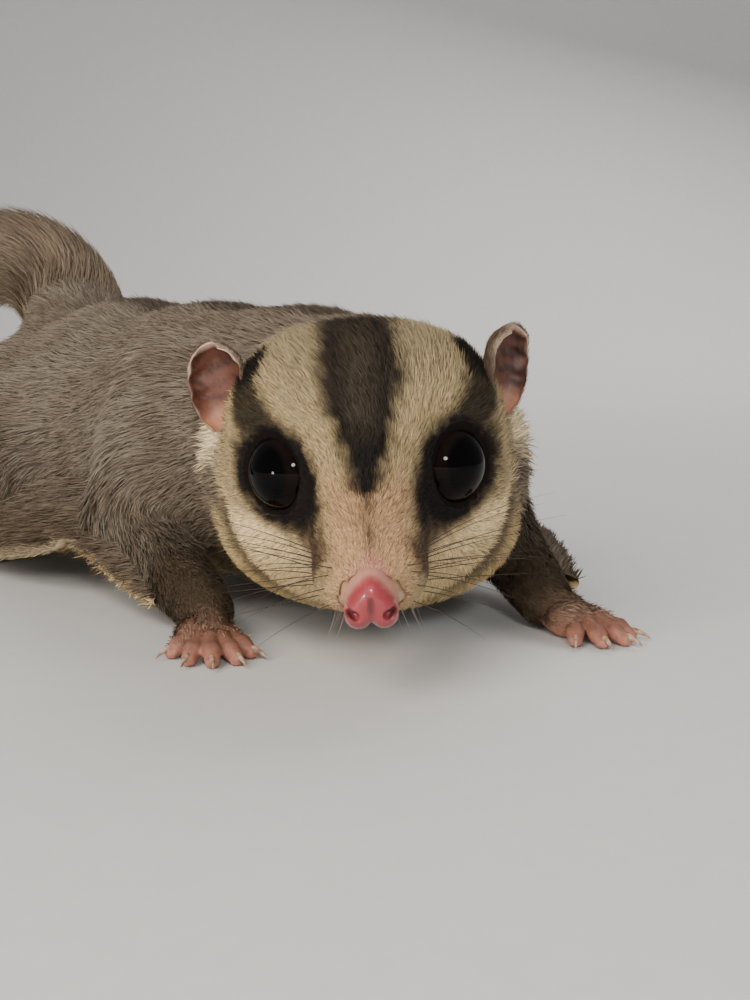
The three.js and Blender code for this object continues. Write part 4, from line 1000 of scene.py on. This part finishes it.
def make_ear(side):
    rows, columns = 44, 33
    heights = EAR_END * np.sin(np.linspace(0, math.pi / 2, rows))
    u, v = (g.ravel() for g in np.meshgrid(heights, np.linspace(-1, 1, columns), indexing="ij"))
    folds = 0.16 * np.sin(u * 26) * smooth_step(np.abs(v), 0.15, 0.6) * (1 - smooth_step(u, 0.75, 0.95))
    outer = ear_leaf(side, u, v, np.full(len(u), 0.1))
    thin = np.maximum(smooth_step(np.abs(v), 0.7, 1), smooth_step(u, 0.9, 1))
    inner = ear_leaf(side, u, v, 0.5 - 0.2 * thin + folds)
    leaf = np.concatenate([outer, inner])
    cell = grid_faces(rows, columns, closed=False)
    extra = rows * columns
    walls = []
    for c in (0, columns - 1):
        a = np.arange(rows - 1) * columns + c
        walls.append(np.stack([a, a + columns, a + columns + extra, a + extra], 1))
    for r in (0, rows - 1):
        a = r * columns + np.arange(columns - 1)
        walls.append(np.stack([a, a + 1, a + 1 + extra, a + extra], 1))
    ear_faces = np.concatenate([cell, cell[:, ::-1] + extra, *walls])
    spot = head_point(leaf)
    grain = waves(spot, 2.5, 12)
    back = mix(srgb(100, 80, 70)[None], srgb(70, 56, 49), smooth_step(grain, -0.5, 1))
    # Inside, the cup is darker than the back: partly the ear's reddish brown, partly painted shade in the
    # hollow.
    inside = mix(srgb(96, 57, 44)[None], srgb(56, 33, 26), smooth_step(grain, -0.6, 0.8))
    inside = mix(inside, srgb(170, 120, 98), np.tile(1 - smooth_step(u, 0.12, 0.38), 2))
    tone = np.concatenate([back[:extra], inside[extra:]])
    edge = np.maximum(smooth_step(np.abs(v), 0.9, 0.99), smooth_step(u, 0.9, 0.95))
    tone = mix(tone, srgb(196, 168, 150), np.tile(edge * (0.1 + 0.8 * smooth_step(u, 0.6, 0.95)), 2))
    make_piece("ear_leaf_" + side, spot, ear_faces, bare, "ear", ["ear_" + side], tone)

    # Fine down all over the back and the rim
    n = int(5200 * THIN)
    hu, hv = rng.uniform(0.12, EAR_END, n), rng.uniform(-1, 1, n)
    root = ear_leaf(side, hu, hv, np.full(n, 0.12))
    ahead = ear_leaf(side, np.minimum(hu + 0.03, 1.03), hv, np.full(n, 0.12))
    beside = ear_leaf(side, hu, hv + 0.02, np.full(n, 0.12))
    way = unit(head_direction(ahead - root))
    out = unit(head_direction(np.cross(beside - root, ahead - root)))
    middle = ear_leaf(side, hu, np.zeros(n), np.full(n, 3.0))
    out = out * np.sign((out * (head_point(root) - head_point(middle))).sum(1))[:, None]
    pale = np.maximum(smooth_step(np.abs(hv), 0.8, 1), smooth_step(hu, 0.85, 1))
    hair_tone = mix(srgb(96, 80, 68)[None], srgb(170, 150, 130), pale * smooth_step(hu, 0.3, 0.9))
    make_fur("fur_ear_" + side, "ear", head_point(root), out, way, 0.9, 0.07, 16, 0.1, hair_tone,
             fitted(np.stack([hv, hu], 1)))


for side in EARS:
    make_ear(side)

# Paws: palm and digits as one skin, with claws. A shape holds the palm's length and radius, the digits'
# lengths, their radius, and how many digits from the first one have no claw. A paw holds its wrist, its
# direction, the side that its first digit is on, the digits' angles and its shape.
FOREPAW = (5.2, 3.0, [5.4, 7.4, 8.2, 7.8, 6.4], 1.25, 0)
HINDPAW = (11.5, 3.3, [6.4, 6.6, 7.2, 8.2, 7.4], 1.35, 1)
PAWS = {
    "forepaw_right": ([-20.5, 12.5, 4.3], [0.22, -0.97], -1, [-62, -26, -4, 18, 44], FOREPAW),
    "forepaw_left": ([23.2, 20.0, 4.3], [0.64, -0.77], 1, [-62, -28, -4, 20, 46], FOREPAW),
    "hindpaw_right": (body_point(73, 23.5, 5.0), [0.33, -0.94], -1, [-80, -20, -8, 12, 30], HINDPAW),
    "hindpaw_left": (body_point(73, -23.5, 5.0), [0.72, -0.69], 1, [-80, -20, -8, 12, 30], HINDPAW),
}
CLAW_LENGTH = 2.6


def make_paw(name):
    wrist, toward, side, spread, (palm, palm_radius, reach, digit, clawless) = PAWS[name]
    forward = unit([*toward, 0])
    sideward = np.array([-forward[1], forward[0], 0])
    end = np.array([wrist[0], wrist[1], palm_radius - 0.9]) + forward * palm
    bulge_way = sideward + np.array([0, 0, -0.4])
    bulges = mirrored(lambda s: ellipsoid(end + bulge_way * s * 1.5, [2.7, 2.7, 2.1]))
    palm_flesh = blend([round_cone(wrist, end, palm_radius, palm_radius * 0.92), *bulges], 1)
    digits = []
    tips = []
    for angle, length in zip(spread, reach):
        turn = math.radians(-angle * side)
        along = forward * math.cos(turn) + sideward * math.sin(turn)
        heights = [end[2], digit + 1.6, digit + 0.7, digit * 0.92]
        radii = [1.02 * digit, 0.86 * digit, 0.95 * digit, 0.8 * digit]
        stops = [end + along * (0.2 + length * t) for t in (0.05, 0.42, 0.76, 0.96)]
        line = [np.array([x, y, h]) for (x, y, _), h in zip(stops, heights)]
        bones = [round_cone(line[k], line[k + 1], radii[k], radii[k + 1]) for k in range(3)]
        digits.append(blend(bones, 0.5))
        tips.append((end + along * (length + 0.4), along))

    def field(p):
        d = palm_flesh(p)
        toes = np.min([f(p) for f in digits], axis=0)
        rings = 0.05 * np.sin(waves(p, 7, 2) * 9)
        return smooth_max(smooth_min(d, toes, 0.9) + 0.12 + rings, FLOOR - p[:, 2], 0.4)

    spots = np.array([tip for tip, _ in tips] + [wrist])
    low = spots.min(0) - np.array([4, 4, 20])
    low[2] = -0.5
    high = spots.max(0) + np.array([4, 4, 0])
    high[2] = 9
    p, f, n = surface_net(field, low, high, 0.32)
    upper = smooth_step(p[:, 2], 1.2, 3.2)
    grain = waves(p, 1.8, 31)
    tone = mix(srgb(164, 110, 94)[None], srgb(118, 82, 68), upper)
    tone = mix(tone, srgb(100, 70, 60), 0.45 * smooth_step(grain, 0, 1))
    base = 1 - smooth_step(np.linalg.norm(p[:, :2] - wrist[:2], axis=1), 2, palm + 2)
    # The paw's top darkens towards the wrist: partly dark fur, partly painted shade.
    tone = mix(tone, DARK_BROWN_AND_SHADE * 1.4, 0.7 * base * upper)
    make_piece("skin_" + name, p, f, bare, "paw", [name], tone)

    def down(spot):
        far = np.linalg.norm(spot[:, :2] - wrist[:2], axis=1)
        return THIN * 26 * (1 - smooth_step(far, palm * 0.8, palm + 5)) * smooth_step(spot[:, 2], 1.6, 3.0)

    root, out = scatter(p, f, n, down)
    from_wrist = smooth_step(np.linalg.norm(root - wrist, axis=1), 2, palm + 3)
    # The paw's down is darker by the wrist: partly dark fur, partly painted shade.
    tone = mix(DARK_BROWN_AND_SHADE[None] * 1.25, srgb(150, 126, 108), from_wrist)
    make_fur("fur_" + name, "leg_fur", root, out, along_skin(forward, out), 1.3, 0.1, 18, 0.1, tone,
             fitted(root[:, :2]))

    claws, claw_faces, start = [], [], 0
    for k, (tip, along) in enumerate(tips):
        if k == 0 and clawless:
            continue
        t = np.linspace(0, 1, 12)
        path = tip[None] + along * (CLAW_LENGTH * t)[:, None] - along * 0.5
        path[:, 2] = digit * 1.25 + 0.5 * t - 1.25 * t * t
        radii = 0.4 * np.sqrt(np.maximum(1 - t, 0)) * (1 - 0.4 * t) + 0.02
        radii[0] = 0.05
        claw, faces = tube(path, radii, 10, 1.3)
        claws.append(claw)
        claw_faces.append(faces + start)
        start += len(claw)
    claws = np.concatenate(claws)
    horn_tone = mix(srgb(110, 84, 70)[None], srgb(190, 164, 140), smooth_step(waves(claws, 1.5, 8), -1, 1))
    make_piece("claws_" + name, claws, np.concatenate(claw_faces), horn, "paw", colours=horn_tone)


for name in PAWS:
    make_paw(name)


# Gliding membranes, folded along the flanks, with a pale fringe on the free margin: each has a line of
# points where it leaves the body and one along its free edge. The sides differ at the forelegs.
def flank_line(s, *places):
    return [body_point(along, s * out, z) for along, out, z in places]


PATAGIA = {
    "patagium_right": (
        [[-24, 18, 6], [-36, 37, 13], *flank_line(1, (22, 17, 15), (38, 18, 15), (54, 20, 14), (69, 21, 11))],
        [[-27.6, 18.5, 4], [-42.6, 36, 9.5],
         *flank_line(1, (22, 28.5, 8), (38, 31, 5.2), (54, 31, 5.6), (71, 28, 6.2))],
    ),
    "patagium_left": (
        [[25, 26, 6], [18, 42, 12], *flank_line(-1, (22, 17, 15), (38, 18, 15), (54, 20, 14), (69, 21, 11))],
        [[28.6, 28, 4.5], [24, 46, 9.5],
         *flank_line(-1, (22, 27, 8), (38, 30, 5.2), (54, 31, 5.6), (71, 28, 6.2))],
    ),
}
# The membrane's outline across: out from the body over the top, round the margin and back below
FOLD_OUT = np.array([0, 0.25, 0.5, 0.75, 0.9, 0.98, 1.04, 1.06, 1.04, 0.98, 0.9, 0.75, 0.5, 0.25, 0])
FOLD_UP = np.array([0.9, 1.0, 1.0, 0.9, 0.85, 0.7, 0.4, 0, -0.4, -0.7, -0.8, -0.75, -0.8, -0.8, -0.9])


def make_patagium(name):
    rows, columns = 110, len(FOLD_OUT)
    root_line, edge_line = (curve(line, rows) for line in PATAGIA[name])
    outward = edge_line - root_line
    up = unit(np.cross(unit(np.gradient(root_line, axis=0)), outward))
    up = up * np.sign(up[:, 2:3])
    crease = 1 + 0.25 * np.sin(np.linspace(0, 26, rows))[:, None]
    sheet = root_line[:, None] + outward[:, None] * FOLD_OUT[None, :, None]
    p = (sheet + up[:, None] * (FOLD_UP[None] * crease)[..., None]).reshape(-1, 3)
    p[:, 2] = np.maximum(p[:, 2], FLOOR + 0.3)
    f = grid_faces(rows, columns, closed=False)
    at_edge = outward[:, None] * 0.5 * (FOLD_OUT[None, :, None] > 0.97)
    n = unit((np.sign(FOLD_UP + 0.01)[None, :, None] * up[:, None] + at_edge).reshape(-1, 3))
    share = np.tile(FOLD_OUT, rows)
    upper = np.tile(FOLD_UP > 0, rows)
    # On top the membrane darkens towards the margin; below it is cream darkened to 0.55, painted shade under
    # the fold.
    top = mix(GREY_BROWN[None] * 0.9, DARK_BROWN_AND_SHADE, smooth_step(share, 0.25, 0.7) * 0.75)
    tone = np.where(upper[:, None], top, YELLOW_CREAM[None] * 0.55)
    run = np.repeat(np.linspace(0, 1, rows), columns)
    front = 1 - smooth_step(run, 0.06, 0.2)
    margin = mix(srgb(158, 142, 116)[None], CREAM, front)
    tone = mix(tone, margin, smooth_step(share, 0.93, 1.03) * (0.7 + 0.3 * front))
    make_piece("skin_" + name, p, f, fur_skin, "membrane_fur", [name], tone)

    # The membrane's hairs take its colours, with the painted shade below.
    corner = draw_triangles(p, f, lambda middle: 9 * THIN)
    weights = rng.dirichlet([1, 1, 1], len(corner)).T
    spread_flat = np.stack([np.tile(np.linspace(0, 1, columns), rows), run], 1)
    root, colour, patch, out = (weighted(v, corner, weights) for v in (p, tone, spread_flat, n))
    out = unit(out)
    way = along_skin(unit(0.75 * ALONG + 0.65 * unit(np.mean(outward, axis=0))), out)
    make_fur("fur_" + name, "membrane_fur", root, out, way, 3.4, 0.16, 20, 0.12, colour, fitted(patch),
             clump=0.35)


for name in PATAGIA:
    make_patagium(name)

# Tail: a slim core and long hairs that sweep back along it
TAIL_COAT = 11.5
TAIL_CUTS = [0.06, 0.3, 0.54, 0.77, 1.0]
ROOT_RADIUS = 9.4
tail_line = curve(TAIL_PATH, 401, even=True)
tail_tangent = unit(np.gradient(tail_line, axis=0))
TAIL_LENGTH = np.linalg.norm(np.diff(tail_line, axis=0), axis=1).sum()


def coat_radius(t):
    return TAIL_COAT * (0.8 + 0.25 * np.sin(math.pi * np.minimum(t * 1.1, 1)) - 0.68 * np.clip(t, 0, 1) ** 8)


def core_radius(t):
    rise = smooth_step(t, 0.04, 0.15)
    slim = 0.42 * coat_radius(t) * (1 - 0.75 * smooth_step(t, 0.8, 0.97))
    return (ROOT_RADIUS - 1.6) * (1 - rise) + slim * rise


def tail_frame(t):
    at = np.clip(t, 0, 1) * 400
    i = np.minimum(at.astype(int), 399)
    w = (at - i)[:, None]
    middle = tail_line[i] * (1 - w) + tail_line[i + 1] * w
    tangent = unit(tail_tangent[i] * (1 - w) + tail_tangent[i + 1] * w)
    middle = middle + tangent * (np.maximum(t - 1, 0) * TAIL_LENGTH)[:, None]
    return middle, *across_of(tangent)


def tail_point(t, angle, radius):
    middle, side, over = tail_frame(t)
    return middle + side * (radius * np.cos(angle))[:, None] + over * (radius * np.sin(angle))[:, None]


def tail_tone(t, angle, p):
    grey = mix(srgb(118, 104, 88)[None], srgb(92, 80, 68), smooth_step(waves(p, 14, 44), -0.6, 0.8))
    below = mix(grey, srgb(150, 132, 108), 0.5 * smooth_step(-np.sin(angle), 0.3, 0.9))
    return mix(below, srgb(34, 29, 26), smooth_step(t + 0.02 * waves(p, 6, 45), 0.66, 0.86))


rows, sides = 140, 40
round_it = np.linspace(0, 2 * math.pi, sides, endpoint=False)
t, angle = (g.ravel() for g in np.meshgrid(np.linspace(0.02, 0.985, rows), round_it, indexing="ij"))
core = tail_point(t, angle, core_radius(t))
core[:, 2] = np.maximum(core[:, 2], FLOOR + 0.5)
tail_nodes = ["tail_" + str(k) for k in range(1, len(TAIL_CUTS))]
# The tail's core takes the tail colours darkened to 0.6: painted shade under the hairs.
make_piece("skin_tail", core, grid_faces(rows, sides)[:, ::-1], fur_skin, "tail_fur", tail_nodes,
           tail_tone(t, angle, core) * 0.6)


def make_tail_fur(index):
    low, high = TAIL_CUTS[index], TAIL_CUTS[index + 1]
    n = int(10000 * THIN)
    t = rng.uniform(low - (0.045 if index == 0 else 0), min(high, 0.975), n)
    angle = rng.uniform(0, 2 * math.pi, n)
    root = tail_point(t, angle, core_radius(t) - 0.2)
    reach = rng.uniform(0.06, 0.115, n) * (1 - 0.62 * smooth_step(t, 0.84, 0.97))
    outer = rng.uniform(0.45, 1.0, n) ** 0.6
    outer = np.clip(outer * (1 + 0.07 * waves(root, 9, 70)), 0.3, 1.02)
    radius = core_radius(t) + (coat_radius(np.clip(t + reach, 0, 1)) - core_radius(t)) * outer
    swirl = 0.25 * waves(root, 12, 71) + rng.normal(0, 0.1, n)
    stops = [0, 0.33, 0.68, 1.0]
    rows = []
    for s in stops:
        r = core_radius(t) - 0.2 + (radius - core_radius(t)) * (s**0.75)
        rows.append(tail_point(t + reach * s, angle + swirl * s, r))
    out = unit(root - tail_frame(t)[0])
    side = unit(np.cross(unit(rows[2] - rows[0]), out))
    twist = rng.normal(0, 0.5, n)[:, None]
    across = (side * np.cos(twist) + out * np.sin(twist)) * rng.uniform(0.09, 0.17, n)[:, None]
    tone = tail_tone(t + reach * 0.5, angle, root) * rng.normal(1, 0.16, n)[:, None]
    slot = "tail_fur" if index < 3 else "tail_tip_fur"
    # The tail hairs darken towards their roots: painted shade among the hairs.
    make_hairs("fur_" + tail_nodes[index], slot, rows, stops, across, (1.0, 1.0, 0.75), 0.15, tone,
               lambda along: np.interp(along, stops, [0.6, 0.95, 1.1, 1.2]), fitted(np.stack([angle, t], 1)))


for index in range(len(tail_nodes)):
    make_tail_fur(index)


# Whiskers: dark ones swept out from the pads, short pale ones under the chin
def make_whiskers(name, hairs, thickness, tone):
    """Tapered hairs, each from its start, direction, length and droop."""
    points, faces = [], []
    t = np.linspace(0, 1, 14)
    for start, way, length, droop in hairs:
        path = start + way * (length * t)[:, None] + np.array(droop) * (t**2)[:, None]
        path[:, 2] = np.maximum(path[:, 2], FLOOR + 0.2)
        p, f = tube(path, thickness * (1 - 0.85 * t), 4)
        faces.append(f + len(p) * len(points))
        points.append(p)
    points = np.concatenate(points)
    colours = mix(tone[None], tone * 1.6, smooth_step(waves(points, 6, 5), -1, 1))
    make_piece(name, points, np.concatenate(faces), horn, "face_fur", colours=colours)


def on_skin(q):
    """Walks a point of the head's frame onto the skin."""
    p = head_point(np.atleast_2d(q))
    for _ in range(6):
        slope, d = gradient(skin_field, p)
        p = p - unit(slope) * d[:, None]
    return p[0]


whisker_rng = np.random.default_rng(5)
long_hairs, chin_hairs = [], []
for s, row, k in [(s, row, k) for s in (1, -1) for row in range(4) for k in range(4)]:
    start = on_skin([s * (3.6 + 0.7 * k), -15.6 + 1.5 * k + 0.3 * row, -4.0 - 1.1 * row])
    lift = 0.3 - 0.2 * row + whisker_rng.normal(0, 0.07)
    way = head_direction(unit([s * 1.0, -0.15 + 0.28 * k + whisker_rng.normal(0, 0.08), lift]))
    length = 10 + 3.4 * k + whisker_rng.uniform(-2, 2)
    long_hairs.append((start, way, length, [0, 1.5, -2.6 + 0.5 * row + whisker_rng.normal(0, 0.8)]))
for k in range(22):
    s = 1 if k % 2 else -1
    start = on_skin([s * whisker_rng.uniform(0.4, 5), -13 + whisker_rng.uniform(-2.5, 4), -10])
    way = head_direction(unit([s * 0.25, -0.25, -1]))
    chin_hairs.append((start, way, whisker_rng.uniform(2.5, 5), [s * 0.4, 0.8, 0.0]))
make_whiskers("whiskers", long_hairs, 0.06, srgb(46, 37, 31))
make_whiskers("chin_whiskers", chin_hairs, 0.02, srgb(150, 134, 118))


# Floor and backdrop: one sheet that curves up far behind the animal
def floor_look(nodes, links, shader):
    place = nodes.new("ShaderNodeTexCoord")
    grain = node(nodes, "ShaderNodeTexNoise", Scale=260.0, Detail=6.0, Roughness=0.7)
    ramp = node(nodes, "ShaderNodeMapRange", To_Min=0.56, To_Max=0.62)
    relief = node(nodes, "ShaderNodeBump", Strength=0.08, Distance=0.0005)
    links.new(place.outputs["Object"], grain.inputs["Vector"])
    links.new(grain.outputs["Fac"], ramp.inputs["Value"])
    links.new(ramp.outputs["Result"], shader.inputs["Base Color"])
    links.new(grain.outputs["Fac"], relief.inputs["Height"])
    links.new(relief.outputs["Normal"], shader.inputs["Normal"])


FLOOR_HALF = 1.4
WALL_START = 0.45
WALL_CURVE = 0.4
WALL_HEIGHT = 1.5
profile = [(-FLOOR_HALF, 0), (WALL_START, 0)]
for a in np.linspace(0.1, math.pi / 2, 14):
    profile.append((WALL_START + WALL_CURVE * math.sin(a), WALL_CURVE - WALL_CURVE * math.cos(a)))
profile.append((WALL_START + WALL_CURVE, WALL_HEIGHT))
sheet = np.array([[x, y, z] for y, z in profile for x in (-FLOOR_HALF, FLOOR_HALF)])
mesh = bpy.data.meshes.new("floor")
mesh.from_pydata(sheet.tolist(), [], grid_faces(len(profile), 2, closed=False).tolist())
mesh.polygons.foreach_set("use_smooth", [True] * len(mesh.polygons))
mesh.materials.append(material("floor", 0.85, floor_look))
floor = bpy.data.objects.new("floor", mesh)
bpy.context.scene.collection.objects.link(floor)


# Lights: place from the eyes, size, power, colour and whether the eyes mirror it
WARM, PALE_WARM = (1.0, 0.92, 0.80), (1.0, 0.97, 0.92)
LIGHTS = {
    "key": ([-0.33, -0.46, 0.4], 0.55, 5.6, WARM, False),
    "fill": ([0.7, -0.35, 0.35], 0.7, 1.5, (0.95, 0.96, 1.0), False),
    "low_fill": ([-0.45, -0.55, 0.08], 0.4, 1.3, (1.0, 0.94, 0.84), False),
    "rim": ([0.2, 0.6, 0.5], 0.5, 4.0, (1.0, 0.96, 0.9), False),
    "spark_one": ([0.05, -0.42, 0.17], 0.07, 0.9, PALE_WARM, True),
    "spark_two": ([-0.34, -0.36, 0.0], 0.055, 0.45, PALE_WARM, True),
}
LIT_SPOT = to_part([0, 20, 20])
for name, (place, size, power, colour, mirrored_in_eyes) in LIGHTS.items():
    light = bpy.data.lights.new(name, "AREA")
    light.shape = "DISK"
    light.size = size
    light.energy = power
    light.color = colour
    lamp = bpy.data.objects.new(name, light)
    lamp.visible_glossy = mirrored_in_eyes
    lamp.location = to_part([0, 0, EYE_HEIGHT]) + np.array(place)
    direction = LIT_SPOT - np.array(lamp.location)
    lamp.rotation_euler = Vector(direction).to_track_quat("-Z", "Y").to_euler()
    bpy.context.scene.collection.objects.link(lamp)
world = bpy.data.worlds.new("studio")
world.use_nodes = True
world.node_tree.nodes["Background"].inputs["Color"].default_value = (0.80, 0.82, 0.86, 1)
world.node_tree.nodes["Background"].inputs["Strength"].default_value = 0.28
bpy.context.scene.world = world

# Camera: low before the face, long side of its frame upright
CAMERA_SPOT = [0.92, -158.83, 42.53]
CAMERA_DIP = 8
camera = bpy.data.cameras.new("camera")
camera.lens = 50
camera.sensor_width = 36
camera.clip_start = 0.01
camera.clip_end = 10
viewer = bpy.data.objects.new("camera", camera)
viewer.location = to_part(CAMERA_SPOT)
viewer.rotation_euler = (math.radians(90 - CAMERA_DIP), 0, 0)
bpy.context.scene.collection.objects.link(viewer)
bpy.context.scene.camera = viewer
